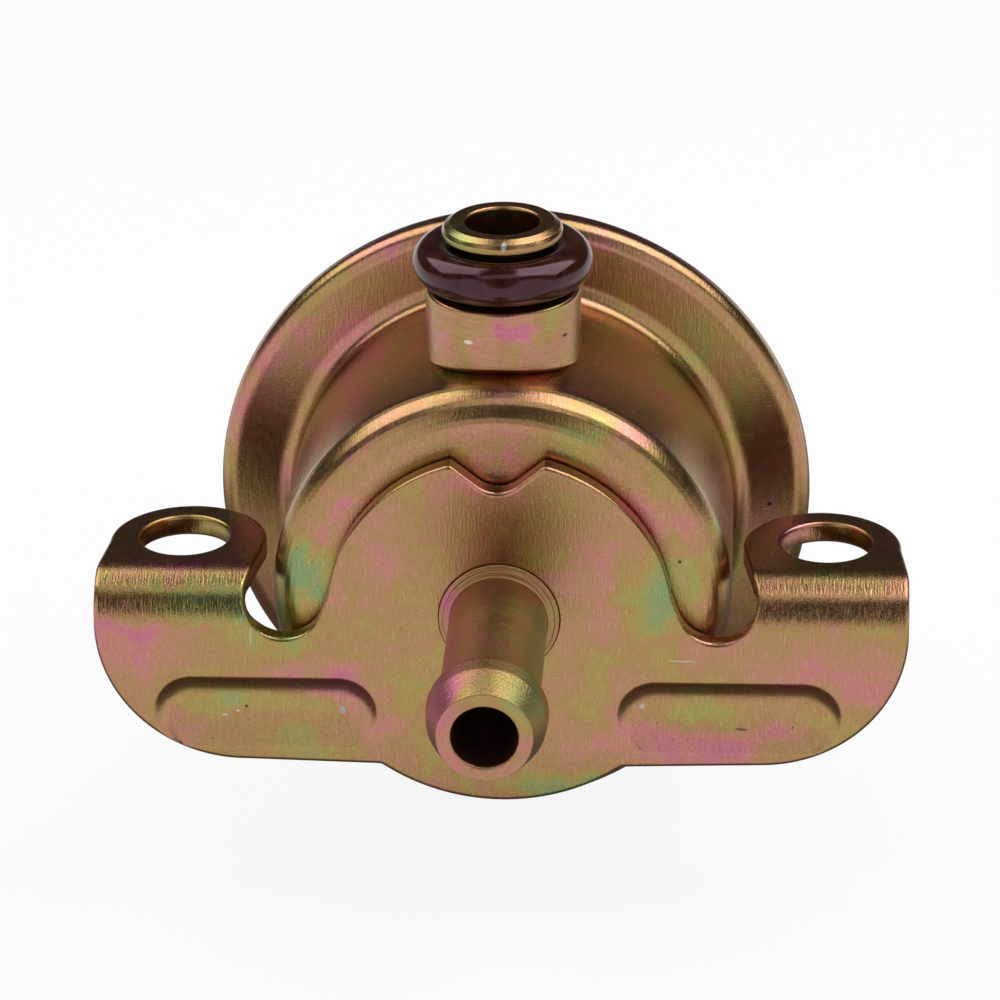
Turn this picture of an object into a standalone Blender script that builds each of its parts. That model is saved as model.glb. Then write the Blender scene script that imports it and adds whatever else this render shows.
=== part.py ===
"""Fuel pressure regulator: crimped diaphragm housing, inlet plug, return barb and bolt-on bracket.

X points right, Y to the rear (the spring side) and Z up, along the inlet port.
The origin lies on the inlet port's axis, in the plane of the ears' upper faces.
Sizes are named in millimetres and turned into metres when a mesh is made.
Depths named ..._Y are counted from the front face of the bracket plate, along the housing's axis.
"""

from math import atan2, cos, pi, radians, sin, sqrt, tan

import bmesh
import bpy
import numpy as np
from mathutils import Vector
from mathutils.geometry import delaunay_2d_cdt

MM = 0.001
GAP = 0.3            # clearance between two pieces that touch on the real object
CLAMP_GAP = 0.2      # clearance inside the crimped rim
CUT_PAST = 3.0       # how far a hole's cutter reaches past the sheet
SMOOTH_ANGLE = radians(32)

# Where the shared frame lies on the object
PORT_Y = 12.0        # inlet axis behind the bracket's front face
AXIS_BELOW_EARS = 2.85

# Bracket plate
PLATE = 1.8
DISC_R = 13.9
LOBE_R = 16.6
WING_HALF = 32.8
WING_CORNER_R = 11.8
WING_CORNER_X = WING_HALF - WING_CORNER_R
WING_CORNER_Z = -1.3
LOBE_JOIN_X = 9.8
UCUT_X = 17.3
UCUT_Z = 0.9
UCUT_R = 3.0
UCUT_LEAVE = radians(200)
DISC_LEAVE_Z = 1.8
HORN_X = 3.75
NOTCH_SLOPE = radians(42)
NOTCH_Z = 11.05
NOTCH_R = 2.5
EDGE_ROUND = 0.22

# Ears, folded back from the wings
HOLE_SPACING = 52.5
HOLE_R = 3.9
HOLE_Y = 9.1
EAR_IN_X = 19.9
EAR_END_Y = 14.95
EAR_END_R = 6.0
EAR_OFF_HOLE = 0.15
EAR_END_X = HOLE_SPACING / 2 - EAR_OFF_HOLE
BEND_R = 3.0
BEND_STEPS = 5

# Pressed dishes in the wings
DISH_X = (-19.1, 18.5)
DISH_Z = -8.8
DISH_HALF = 9.1
DISH_R = 3.2
DISH_DEPTH = 0.8
DISH_WALL = 2.1
DISH_FADE = (19.4, 21.4)   # the dish shows at the back only beyond this distance from the housing

# Fuel-side housing
RIM_R = 25.0
FLANGE_WIDTH = 6.4
CUP_R = RIM_R - FLANGE_WIDTH
CUP_SHEET = 0.9
CUP_FRONT_Y = PLATE + GAP
CUP_NOSE_R = 3.0
FLANGE_Y = 24.0
FLANGE_FILLET = 1.5
RIM_ROUND = 0.9
HEM_REACH = 3.3
HEM_IN_R = RIM_R - HEM_REACH
HEM = 0.7

# Diaphragm and spring-side housing, around the spring plate
SPRING_PLATE_R = 12.9
SPRING_PLATE = 0.8
SPRING_PLATE_RIM = 2.0
CHAMBER_ROOM = 1.3
RUBBER = 0.5
CLAMP_R = RIM_R - CUP_SHEET - GAP
COVER_SHEET = 0.7
COVER_OFF_HEM = 1.0
COVER_SHOULDER_R = HEM_IN_R - COVER_OFF_HEM
COVER_SHOULDER_LENGTH = 6.6
COVER_SHOULDER_Y = FLANGE_Y + COVER_SHOULDER_LENGTH
COVER_SHOULDER_NOSE_R = 1.5
COVER_R = SPRING_PLATE_R + CHAMBER_ROOM + COVER_SHEET
COVER_LENGTH = 21.4
COVER_END_Y = FLANGE_Y + COVER_LENGTH
COVER_NOSE_R = 2.2
ROLL_OFF_PLATE = 0.5
ROLL_OFF_COVER = 0.8
ROLL_IN_R = SPRING_PLATE_R + ROLL_OFF_PLATE
ROLL_OUT_R = COVER_SHOULDER_R - COVER_SHEET - ROLL_OFF_COVER
ROLL_HEIGHT = 2.3

# Return barb
BARB_END_Y = -20.5
BARB_END_R = 3.72
BARB_BEAD_R = 4.8
BARB_BEAD_FRONT_R = 4.65
BARB_BEAD_HALF = 0.9
BARB_BEAD_FROM_END = 3.5
BARB_BEAD_Y = BARB_END_Y + BARB_BEAD_FROM_END
BARB_NECK_FROM_END = 5.3
BARB_NECK_Y = BARB_END_Y + BARB_NECK_FROM_END
BARB_STEM_R = 3.95
BARB_COLLAR_R = 4.85
BARB_COLLAR_STEP_R = 4.5
BARB_COLLAR_PROUD = 0.5
BARB_LEDGE_PROUD = 0.2
COLLAR_PAST_PLATE = 0.05
RETURN_BORE_R = 2.58
SHANK_R = 4.2
TUBE_TAIL_R = 3.5
TUBE_TAIL_Y = 5.0
TUBE_END_Y = 11.0

# Valve seat sleeve on the return tube's inner end
SEAT_R = 4.7
SEAT_FRONT_Y = 5.6
SEAT_LIP_TO_FLANGE = 4.0
SEAT_LIP_Y = FLANGE_Y - SEAT_LIP_TO_FLANGE
SEAT_LIP_ROOT_R = 3.2
SEAT_LIP_R = 2.9
SEAT_BORE_R = 2.3
SEAT_LIP = 0.6

# Valve disc, ball, carrier
DISC_VALVE_R = 4.5
DISC_VALVE = 1.0
BALL_R = 2.0
BALL_CLEAR = 0.25
DISC_TILT_ROOM = 0.45
RETAINER_HOLE_R = 1.78
RETAINER_R = 3.5
RETAINER = 0.4
CARRIER_R = 5.0
CARRIER_LIP_R = 3.1
CARRIER_LIP = 0.35
CARRIER_STEM_R = 3.0
CARRIER_CAP = 0.8
RIVET_R = 4.1
RIVET_TOP_R = 3.1
RIVET = 1.3
WASHER_R = 9.0
WASHER = 0.6
WASHER_TURN = 1.0
STEM_CLEAR = 0.3

# Springs
COIL_WIRE_R = 1.1
COIL_OFF_RIM = 1.0
COIL_R = SPRING_PLATE_R - SPRING_PLATE - COIL_OFF_RIM - COIL_WIRE_R
COIL_TURNS = 5.0
COIL_DEAD_TURNS = 0.75
COIL_DEAD_PITCH = 2.55
BALL_COIL_R = 1.3
BALL_WIRE_R = 0.2
BALL_COIL_TURNS = 2.5

# Upper spring seat
UPPER_SEAT_R = SPRING_PLATE_R + GAP
UPPER_SEAT = 0.9
COIL_OFF_BOSS = 0.6
UPPER_BOSS_R = COIL_R - COIL_WIRE_R - COIL_OFF_BOSS
UPPER_BOSS = 1.6
UPPER_HOLE_R = 1.6

# Vacuum nipple
NIPPLE_R = 2.1
NIPPLE_BORE_R = 1.25
NIPPLE_BEAD_R = 2.55
NIPPLE_BEAD = 1.2
NIPPLE_FLANGE_R = 3.6
NIPPLE_FLANGE = 0.8
NIPPLE_LENGTH = 13.1
NIPPLE_END_Y = COVER_END_Y + NIPPLE_LENGTH
NIPPLE_BEAD_FROM_END = 2.3
NIPPLE_BEAD_Y = NIPPLE_END_Y - NIPPLE_BEAD_FROM_END

# Inlet plug
PORT_BORE_R = 3.0
PORT_PILOT_R = 4.4
PORT_PILOT_REACH = 2.2
PORT_PILOT_END_Z = CUP_R - PORT_PILOT_REACH
PORT_COLLAR_R = 6.25
PORT_COLLAR_LENGTH = 5.4
PORT_COLLAR_TOP_Z = CUP_R + PORT_COLLAR_LENGTH
PORT_COLLAR_CHAMFER = 0.55
PORT_FROM_WALL = 1.0
PORT_GROOVE_R = 3.5
PORT_TIP_R = 4.85
PORT_TIP_SHOULDER_R = 4.65
PORT_TIP_FLAT_R = 4.15
PORT_GROOVE_LENGTH = 4.35
PORT_TIP_LAND_Z = PORT_COLLAR_TOP_Z + PORT_GROOVE_LENGTH
PORT_TIP_LENGTH = 1.15
PORT_TIP_Z = PORT_TIP_LAND_Z + PORT_TIP_LENGTH
PORT_TIP_ROUND = 0.65
ORING_SECTION = 3.5
ORING_PLAY = 0.25
ORING_OUTER_R = PORT_GROOVE_R + ORING_PLAY + ORING_SECTION
ORING_ABOVE_COLLAR = 2.15
ORING_Z = PORT_COLLAR_TOP_Z + ORING_ABOVE_COLLAR

RIM_SEGMENTS = 50
CUP_SEGMENTS = 40
MID_SEGMENTS = 32
SMALL_SEGMENTS = 26
HOLE_SEGMENTS = 26
ROUND_STEPS = 2
NOSE_STEPS = 3


def clear_scene():
    for obj in list(bpy.data.objects):
        bpy.data.objects.remove(obj, do_unlink=True)


def finish(name, colour, roughness, metallic):
    """A Principled material of one sub-part."""
    material = bpy.data.materials.new(name)
    material.use_nodes = True
    shader = material.node_tree.nodes["Principled BSDF"]
    shader.inputs["Base Color"].default_value = (*colour, 1.0)
    shader.inputs["Roughness"].default_value = roughness
    shader.inputs["Metallic"].default_value = metallic
    return material


def zinc(name):
    """Yellow-chromated zinc, as on every outside steel piece."""
    return finish(name, (0.52, 0.37, 0.19), 0.32, 1.0)


def steel(name):
    return finish(name, (0.55, 0.55, 0.54), 0.35, 1.0)


def rubber(name, colour):
    return finish(name, colour, 0.35, 0.0)


def to_world(x, y, z):
    """Millimetres from the housing's axis and the bracket's front face, in the shared frame's metres."""
    return Vector((x, y - PORT_Y, z - AXIS_BELOW_EARS)) * MM


def add_object(name, points, faces, material):
    """A closed, outward-facing, smooth-shaded object of these points (mm) and faces."""
    bm = bmesh.new()
    verts = [bm.verts.new(to_world(*point)) for point in points]
    for face in faces:
        bm.faces.new([verts[i] for i in face])
    bmesh.ops.recalc_face_normals(bm, faces=bm.faces)
    if bm.calc_volume(signed=True) < 0:
        bmesh.ops.reverse_faces(bm, faces=bm.faces)
    mesh = bpy.data.meshes.new(name)
    bm.to_mesh(mesh)
    bm.free()
    mesh.materials.append(material)
    mesh.shade_smooth()
    mesh.set_sharp_from_angle(angle=SMOOTH_ANGLE)
    obj = bpy.data.objects.new(name, mesh)
    bpy.context.scene.collection.objects.link(obj)
    return obj


def rounded(corners, default_steps=1):
    """A path through (x, y, radius) corners, each with a radius above 0 turned into an arc.

    A fourth value sets how many straight steps that arc gets.
    """
    path = []
    count = len(corners)
    for i, (x, y, radius, *own_steps) in enumerate(corners):
        steps = own_steps[0] if own_steps else default_steps
        here = Vector((x, y))
        if radius <= 0:
            path.append(tuple(here))
            continue
        before = (Vector(corners[i - 1][:2]) - here).normalized()
        after = (Vector(corners[(i + 1) % count][:2]) - here).normalized()
        half = before.angle(after) / 2
        reach = radius / tan(half)
        centre = here + (before + after).normalized() * radius / sin(half)
        first = here + before * reach - centre
        turn = first.angle_signed(here + after * reach - centre)
        for step in range(steps + 1):
            angle = -turn * step / steps
            path.append((centre.x + first.x * cos(angle) - first.y * sin(angle),
                         centre.y + first.x * sin(angle) + first.y * cos(angle)))
    return path


def lathe_mesh(profile, segments, place):
    """Points and faces of a closed (radius, height) profile turned about its axis.

    place(radius, angle, height) gives the point. A profile corner on the axis becomes one point.
    """
    points = []
    rings = []
    for radius, height in profile:
        if radius < 1e-6:
            rings.append([len(points)])
            points.append(place(0.0, 0.0, height))
            continue
        rings.append(list(range(len(points), len(points) + segments)))
        points += [place(radius, 2 * pi * k / segments, height) for k in range(segments)]
    faces = []
    for i, lower in enumerate(rings):
        upper = rings[(i + 1) % len(rings)]
        if len(lower) == 1 and len(upper) == 1:
            continue
        for k in range(segments):
            n = (k + 1) % segments
            if len(lower) == 1:
                faces.append((lower[0], upper[k], upper[n]))
            elif len(upper) == 1:
                faces.append((lower[k], upper[0], lower[n]))
            else:
                faces.append((lower[k], upper[k], upper[n], lower[n]))
    return points, faces


def about_housing(radius, angle, depth):
    return (radius * sin(angle), depth, radius * cos(angle))


def about_port(radius, angle, height):
    return (radius * sin(angle), PORT_Y - radius * cos(angle), height)


def turned(name, corners, segments, material):
    """A piece turned about the housing's axis from (radius, depth, corner radius) values."""
    points, faces = lathe_mesh(rounded(corners), segments, about_housing)
    return add_object(name, points, faces, material)


def coil(name, radius, wire, start, height_at, turns, per_turn, sides, material):
    """A round wire along a helix about the housing's axis, its ends closed flat."""
    count = int(turns * per_turn) + 1
    points = []
    for i in range(count):
        angle = 2 * pi * i / per_turn
        depth = start + height_at(i / per_turn)
        for k in range(sides):
            around = 2 * pi * k / sides
            points.append(about_housing(radius + wire * cos(around), angle, depth + wire * sin(around)))
    faces = [tuple(range(sides)), tuple(range((count - 1) * sides, count * sides))]
    for i in range(count - 1):
        for k in range(sides):
            n = (k + 1) % sides
            faces.append((i * sides + k, i * sides + n, (i + 1) * sides + n, (i + 1) * sides + k))
    return add_object(name, points, faces, material)


def cut_with_cylinder(obj, name, start, end, radius):
    """Takes a round hole between two points (mm) out of an object."""
    line = to_world(*end) - to_world(*start)
    bm = bmesh.new()
    bmesh.ops.create_cone(bm, cap_ends=True, segments=SMALL_SEGMENTS, radius1=radius * MM, radius2=radius * MM,
                          depth=line.length)
    turn = line.to_track_quat("Z", "Y").to_matrix().to_4x4()
    bmesh.ops.transform(bm, matrix=turn, verts=bm.verts)
    bmesh.ops.translate(bm, vec=(to_world(*start) + to_world(*end)) / 2, verts=bm.verts)
    mesh = bpy.data.meshes.new(name)
    bm.to_mesh(mesh)
    bm.free()
    cutter = bpy.data.objects.new(name, mesh)
    cutter.hide_render = True
    cutter.display_type = "WIRE"
    bpy.context.scene.collection.objects.link(cutter)
    modifier = obj.modifiers.new(name, "BOOLEAN")
    modifier.operation = "DIFFERENCE"
    modifier.solver = "EXACT"
    modifier.object = cutter


def arc_points(cx, cz, radius, start, end, count):
    """Points along an arc, both ends included."""
    return [(cx + radius * cos(start + (end - start) * i / (count - 1)),
             cz + radius * sin(start + (end - start) * i / (count - 1))) for i in range(count)]


def flat_length():
    """Length of the blank that becomes the fold, along the middle of the sheet."""
    return (BEND_R - PLATE / 2) * pi / 2


def fold_start():
    return AXIS_BELOW_EARS - BEND_R


def blank_v(depth):
    """Height on the flat blank of a point this far behind the bracket's front face on the folded ear."""
    return fold_start() + flat_length() + depth - BEND_R


def right_outline():
    """The blank's outline right of the centre, from the lobe's lowest point round to the notch's lowest."""
    corner_z = WING_CORNER_Z - WING_CORNER_R
    lobe_z = -sqrt(LOBE_R**2 - LOBE_JOIN_X**2)
    path = arc_points(0, 0, LOBE_R, -pi / 2, atan2(lobe_z, LOBE_JOIN_X), 9)
    path += arc_points(WING_CORNER_X, WING_CORNER_Z, WING_CORNER_R, -pi / 2, 0, 11)
    path[9] = (WING_CORNER_X, corner_z)
    top = blank_v(EAR_END_Y - EAR_END_R)
    path += [(WING_HALF, fold_start()), (WING_HALF, fold_start() + flat_length())]
    path += arc_points(EAR_END_X, top, EAR_END_R, radians(-4), radians(184), 15)
    path += [(EAR_IN_X, fold_start() + flat_length()), (EAR_IN_X, fold_start())]
    path += arc_points(UCUT_X, UCUT_Z, UCUT_R, -radians(20), -2 * pi + UCUT_LEAVE, 10)
    start = atan2(DISC_LEAVE_Z, sqrt(DISC_R**2 - DISC_LEAVE_Z**2))
    horn = atan2(sqrt(DISC_R**2 - HORN_X**2), HORN_X)
    path += arc_points(0, 0, DISC_R, start, horn, 12)
    path += arc_points(0, NOTCH_Z + NOTCH_R, NOTCH_R, -pi / 2 + NOTCH_SLOPE, -pi / 2, 4)
    return path


def blank_outline():
    right = right_outline()
    left = [(-x, z) for x, z in reversed(right)][1:-1]
    return right + left


def oblong(cx, cz, half, radius, count=8):
    """Points of a straight-sided slot shape, anticlockwise."""
    reach = half - radius
    right = arc_points(cx + reach, cz, radius, -pi / 2, pi / 2, count)
    return right + arc_points(cx - reach, cz, radius, pi / 2, 3 * pi / 2, count)


def inset(loop, distance):
    """An anticlockwise loop moved inwards, each point along its own two-sided normal."""
    moved = []
    for i, here in enumerate(loop):
        before = Vector(here) - Vector(loop[i - 1])
        after = Vector(loop[(i + 1) % len(loop)]) - Vector(here)
        normal = (before.normalized() + after.normalized()).normalized()
        normal = Vector((-normal.y, normal.x))
        lean = max(0.6, normal.dot(Vector((-before.y, before.x)).normalized()))
        moved.append((here[0] + normal.x * distance / lean, here[1] + normal.y * distance / lean))
    return moved


def fold(x, v, w):
    """The point of the folded bracket at x, blank height v and depth w below the outer face."""
    start = fold_start()
    if v <= start or abs(x) < UCUT_X:
        return (x, w, v)
    if v <= start + flat_length():
        angle = (v - start) / (BEND_R - PLATE / 2)
        return (x, BEND_R - (BEND_R - w) * cos(angle), start + (BEND_R - w) * sin(angle))
    return (x, BEND_R + v - start - flat_length(), AXIS_BELOW_EARS - w)


def dish_depth(x, v):
    """How far the pressed dishes sink the front face at a point of the wings."""
    depth = 0.0
    for cx in DISH_X:
        along = max(abs(x - cx) - (DISH_HALF - DISH_R), 0.0)
        inside = DISH_R - sqrt(along**2 + (v - DISH_Z)**2)
        share = min(max(inside / DISH_WALL, 0.0), 1.0)
        depth += DISH_DEPTH * sin(share * pi / 2)
    return depth


def behind_share(x, v):
    """Share of the dish that also shows at the back: none where the housing lies against the plate."""
    near, far = DISH_FADE
    share = min(max((sqrt(x * x + v * v) - near) / (far - near), 0.0), 1.0)
    return share * share * (3 - 2 * share)


def mounting_bracket():
    """One stamped and folded sheet: notched disc, lobe, two dished wings, two ears with bolt holes."""
    outline = blank_outline()
    holes = [arc_points(side * HOLE_SPACING / 2, blank_v(HOLE_Y), HOLE_R, 2 * pi, 2 * pi / HOLE_SEGMENTS, HOLE_SEGMENTS)
             for side in (-1, 1)]
    holes.append(arc_points(0, 0, BARB_COLLAR_R + GAP, 2 * pi, 2 * pi / HOLE_SEGMENTS, HOLE_SEGMENTS))
    borders = [outline] + holes
    wall = [(0.0, EDGE_ROUND), (0.0, PLATE - EDGE_ROUND)]
    rings = []
    for cx in DISH_X:
        for distance in (0.0, DISH_WALL * 0.45, DISH_WALL):
            rings.append(oblong(cx, DISH_Z, DISH_HALF - distance, DISH_R - distance))
    folds = []
    for step in range(BEND_STEPS + 1):
        v = fold_start() + flat_length() * step / BEND_STEPS
        folds += [((side * EAR_IN_X, v), (side * WING_HALF, v)) for side in (-1, 1)]

    flat = [inset(loop, EDGE_ROUND) for loop in borders]
    verts2 = []
    edges2 = []
    for loop in flat + rings:
        base = len(verts2)
        verts2 += loop
        edges2 += [(base + i, base + (i + 1) % len(loop)) for i in range(len(loop))]
    for a, b in folds:
        inner = EDGE_ROUND * (1 if a[0] > 0 else -1)
        edges2.append((len(verts2), len(verts2) + 1))
        verts2 += [(a[0] + inner, a[1]), (b[0] - inner, b[1])]
    out = delaunay_2d_cdt([Vector(v) for v in verts2], edges2, [], 0, 1e-5)
    sheet, triangles, sources = out[0], out[2], out[3]
    boundary_loops = [[find_vertex(sources, base_of(flat, n) + i) for i in range(len(loop))]
                      for n, loop in enumerate(flat)]
    triangles = [t for t in triangles if inside_blank(sheet, t, flat)]
    boundary_loops = insert_split_points(sheet, triangles, boundary_loops)

    points = []
    faces = []
    front = {}
    back = {}
    for face in triangles:
        for i in face:
            if i not in front:
                x, v = sheet[i]
                depth = dish_depth(x, v)
                front[i] = len(points)
                points.append(fold(x, v, depth))
                back[i] = len(points)
                points.append(fold(x, v, PLATE + depth * behind_share(x, v)))
        faces.append(tuple(front[i] for i in face))
        faces.append(tuple(back[i] for i in reversed(face)))
    for loop in boundary_loops:
        flat_loop = [tuple(sheet[i]) for i in loop]
        full = inset(flat_loop, -EDGE_ROUND)
        rows = [[front[i] for i in loop]]
        for distance, w in wall:
            row = []
            for (fx, fv), (x, v) in zip(full, flat_loop):
                share = distance / EDGE_ROUND
                row.append(len(points))
                points.append(fold(fx + (x - fx) * share, fv + (v - fv) * share, w))
            rows.append(row)
        rows.append([back[i] for i in loop])
        for upper, lower in zip(rows, rows[1:]):
            for k in range(len(loop)):
                n = (k + 1) % len(loop)
                faces.append((upper[k], lower[k], lower[n], upper[n]))
    return add_object("mounting_bracket", points, faces, zinc("zinc_bracket"))


def base_of(loops, n):
    return sum(len(loop) for loop in loops[:n])


def find_vertex(sources, index):
    """The triangulation's vertex that stands for this given vertex."""
    for i, origin in enumerate(sources):
        if index in origin:
            return i
    raise ValueError(index)


def inside_loop(x, y, loop):
    inside = False
    for i, (x1, y1) in enumerate(loop):
        x2, y2 = loop[i - 1]
        if (y1 > y) != (y2 > y) and x < (x2 - x1) * (y - y1) / (y2 - y1) + x1:
            inside = not inside
    return inside


def inside_blank(sheet, triangle, loops):
    """Whether a triangle lies inside the first loop and outside the others."""
    x = sum(sheet[i][0] for i in triangle) / 3
    y = sum(sheet[i][1] for i in triangle) / 3
    return inside_loop(x, y, loops[0]) and not any(inside_loop(x, y, loop) for loop in loops[1:])


def insert_split_points(sheet, triangles, loops):
    """Loops in which each edge that the triangulation split gets its new points."""
    count = {}
    for face in triangles:
        for a, b in zip(face, face[1:] + face[:1]):
            key = (min(a, b), max(a, b))
            count[key] = count.get(key, 0) + 1
    near = {}
    for (a, b), uses in count.items():
        if uses == 1:
            near.setdefault(a, []).append(b)
            near.setdefault(b, []).append(a)
    walked = []
    for loop in loops:
        path = [loop[0]]
        first = next(b for b in near[loop[0]] if leads_to(near, loop[0], b, loop[1], loop))
        here = first
        previous = loop[0]
        while here != loop[0]:
            path.append(here)
            here, previous = next(b for b in near[here] if b != previous), here
        walked.append(path)
    return walked


def leads_to(near, start, step, goal, loop):
    """Whether walking the border from start by step meets goal before any other given corner."""
    corners = set(loop)
    previous, here = start, step
    while here not in corners:
        here, previous = next(b for b in near[here] if b != previous), here
    return here == goal


def fuel_housing():
    """Drawn cup: flat front with the return hole, wall with the inlet hole, flange hemmed over the rim."""
    hole = SHANK_R + GAP
    inner = CUP_R - CUP_SHEET
    corners = [
        (hole, CUP_FRONT_Y, 0),
        (CUP_R, CUP_FRONT_Y, CUP_NOSE_R, NOSE_STEPS),
        (CUP_R, FLANGE_Y, FLANGE_FILLET, ROUND_STEPS),
        (RIM_R, FLANGE_Y, RIM_ROUND, ROUND_STEPS),
        (RIM_R, hem_back(), RIM_ROUND, ROUND_STEPS),
        (HEM_IN_R, hem_back(), 0),
        (HEM_IN_R, hem_back() - HEM, 0),
        (RIM_R - CUP_SHEET, hem_back() - HEM, 0),
        (RIM_R - CUP_SHEET, FLANGE_Y + CUP_SHEET, 0),
        (inner, FLANGE_Y + CUP_SHEET, FLANGE_FILLET + CUP_SHEET),
        (inner, CUP_FRONT_Y + CUP_SHEET, CUP_NOSE_R - CUP_SHEET),
        (hole, CUP_FRONT_Y + CUP_SHEET, 0),
    ]
    cup = turned("fuel_housing", corners, RIM_SEGMENTS, zinc("zinc_fuel_housing"))
    cut_with_cylinder(cup, "inlet_hole_cutter", (0, PORT_Y, inner - CUT_PAST), (0, PORT_Y, CUP_R + CUT_PAST),
                      PORT_PILOT_R + GAP)


def diaphragm_front():
    return FLANGE_Y + CUP_SHEET + CLAMP_GAP


def cover_front():
    return diaphragm_front() + RUBBER + CLAMP_GAP


def hem_back():
    return cover_front() + COVER_SHEET + CLAMP_GAP + HEM


def spring_housing():
    """Stepped cover: flange in the crimp, wide shoulder over the diaphragm's roll, narrow spring chamber."""
    hole = NIPPLE_R + GAP
    front = cover_front()
    thick = COVER_SHEET
    corners = [
        (CLAMP_R, front, 0),
        (CLAMP_R, front + thick, 0),
        (COVER_SHOULDER_R, front + thick, 0),
        (COVER_SHOULDER_R, COVER_SHOULDER_Y, COVER_SHOULDER_NOSE_R, ROUND_STEPS),
        (COVER_R, COVER_SHOULDER_Y, 0),
        (COVER_R, COVER_END_Y, COVER_NOSE_R, ROUND_STEPS),
        (hole, COVER_END_Y, 0),
        (hole, COVER_END_Y - thick, 0),
        (COVER_R - thick, COVER_END_Y - thick, COVER_NOSE_R - thick),
        (COVER_R - thick, COVER_SHOULDER_Y - thick, 0),
        (COVER_SHOULDER_R - thick, COVER_SHOULDER_Y - thick, COVER_SHOULDER_NOSE_R - thick),
        (COVER_SHOULDER_R - thick, front, 0),
    ]
    turned("spring_housing", corners, CUP_SEGMENTS, zinc("zinc_spring_housing"))


def diaphragm():
    """Rubbered fabric disc with one half-round roll between the plates and the clamped edge."""
    front = diaphragm_front()
    hole = CARRIER_STEM_R + STEM_CLEAR
    middle = (ROLL_IN_R + ROLL_OUT_R) / 2
    half = (ROLL_OUT_R - ROLL_IN_R) / 2
    steps = 5
    under = []
    over = []
    for i in range(steps + 1):
        angle = pi - pi * i / steps
        under.append((middle + (half - RUBBER / 2) * cos(angle), front + (ROLL_HEIGHT - RUBBER / 2) * sin(angle)))
        over.append((middle + (half + RUBBER / 2) * cos(angle),
                     front + RUBBER + (ROLL_HEIGHT - RUBBER / 2) * sin(angle)))
    profile = [(hole, front)] + under + [(CLAMP_R, front), (CLAMP_R, front + RUBBER)]
    profile += list(reversed(over)) + [(hole, front + RUBBER)]
    points, faces = lathe_mesh(profile, MID_SEGMENTS, about_housing)
    add_object("diaphragm", points, faces, rubber("diaphragm_rubber", (0.03, 0.03, 0.03)))


def return_tube():
    """Turned barb: bead, stem, stepped root collar through the plate, shank and slim inner tail."""
    collar_back = PLATE + COLLAR_PAST_PLATE
    corners = [
        (RETURN_BORE_R, BARB_END_Y, 0.25),
        (BARB_END_R, BARB_END_Y, 0.15),
        (BARB_BEAD_FRONT_R, BARB_BEAD_Y - BARB_BEAD_HALF, 1.2, ROUND_STEPS),
        (BARB_BEAD_R, BARB_BEAD_Y + BARB_BEAD_HALF, 0.9, ROUND_STEPS),
        (BARB_STEM_R, BARB_NECK_Y, 0.3),
        (BARB_STEM_R, -BARB_COLLAR_PROUD, 0),
        (BARB_COLLAR_STEP_R, -BARB_COLLAR_PROUD, 0.12),
        (BARB_COLLAR_STEP_R, -BARB_LEDGE_PROUD, 0),
        (BARB_COLLAR_R, -BARB_LEDGE_PROUD, 0),
        (BARB_COLLAR_R, collar_back, 0),
        (SHANK_R, collar_back, 0),
        (SHANK_R, TUBE_TAIL_Y, 0),
        (TUBE_TAIL_R, TUBE_TAIL_Y, 0),
        (TUBE_TAIL_R, TUBE_END_Y, 0.3),
        (RETURN_BORE_R, TUBE_END_Y, 0),
    ]
    turned("return_tube", corners, SMALL_SEGMENTS, zinc("zinc_return_tube"))


def valve_seat():
    """Sleeve on the return tube's tail, ending in the lip that the valve disc closes."""
    socket = TUBE_TAIL_R + GAP
    corners = [
        (socket, SEAT_FRONT_Y, 0),
        (SEAT_R, SEAT_FRONT_Y, 0.4),
        (SEAT_R, SEAT_LIP_Y - SEAT_LIP, 0.4),
        (SEAT_LIP_ROOT_R, SEAT_LIP_Y - SEAT_LIP, 0),
        (SEAT_LIP_R, SEAT_LIP_Y, 0),
        (SEAT_BORE_R, SEAT_LIP_Y, 0),
        (SEAT_BORE_R, TUBE_END_Y + GAP, 0),
        (socket, TUBE_END_Y + GAP, 0),
    ]
    turned("valve_seat", corners, SMALL_SEGMENTS, steel("steel_valve_seat"))


def disc_back():
    return SEAT_LIP_Y + GAP + DISC_VALVE


def ball_centre():
    return disc_back() + GAP + BALL_R


def carrier_front():
    return disc_back() + DISC_TILT_ROOM


def head_back():
    return diaphragm_front() - GAP - WASHER - GAP


def rivet_front():
    return diaphragm_front() + RUBBER + GAP + SPRING_PLATE + GAP


def valve_disc():
    """Lapped plate that closes on the seat's lip, welded to the ball behind it."""
    corners = [
        (0, SEAT_LIP_Y + GAP, 0),
        (DISC_VALVE_R, SEAT_LIP_Y + GAP, 0.2),
        (DISC_VALVE_R, disc_back(), 0.2),
        (0, disc_back(), 0),
    ]
    turned("valve_disc", corners, SMALL_SEGMENTS, steel("steel_valve_disc"))


def valve_ball():
    steps = 8
    profile = [(BALL_R * sin(pi * i / steps), ball_centre() - BALL_R * cos(pi * i / steps))
               for i in range(steps + 1)]
    points, faces = lathe_mesh(profile, 18, about_housing)
    add_object("valve_ball", points, faces, steel("steel_ball"))


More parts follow.
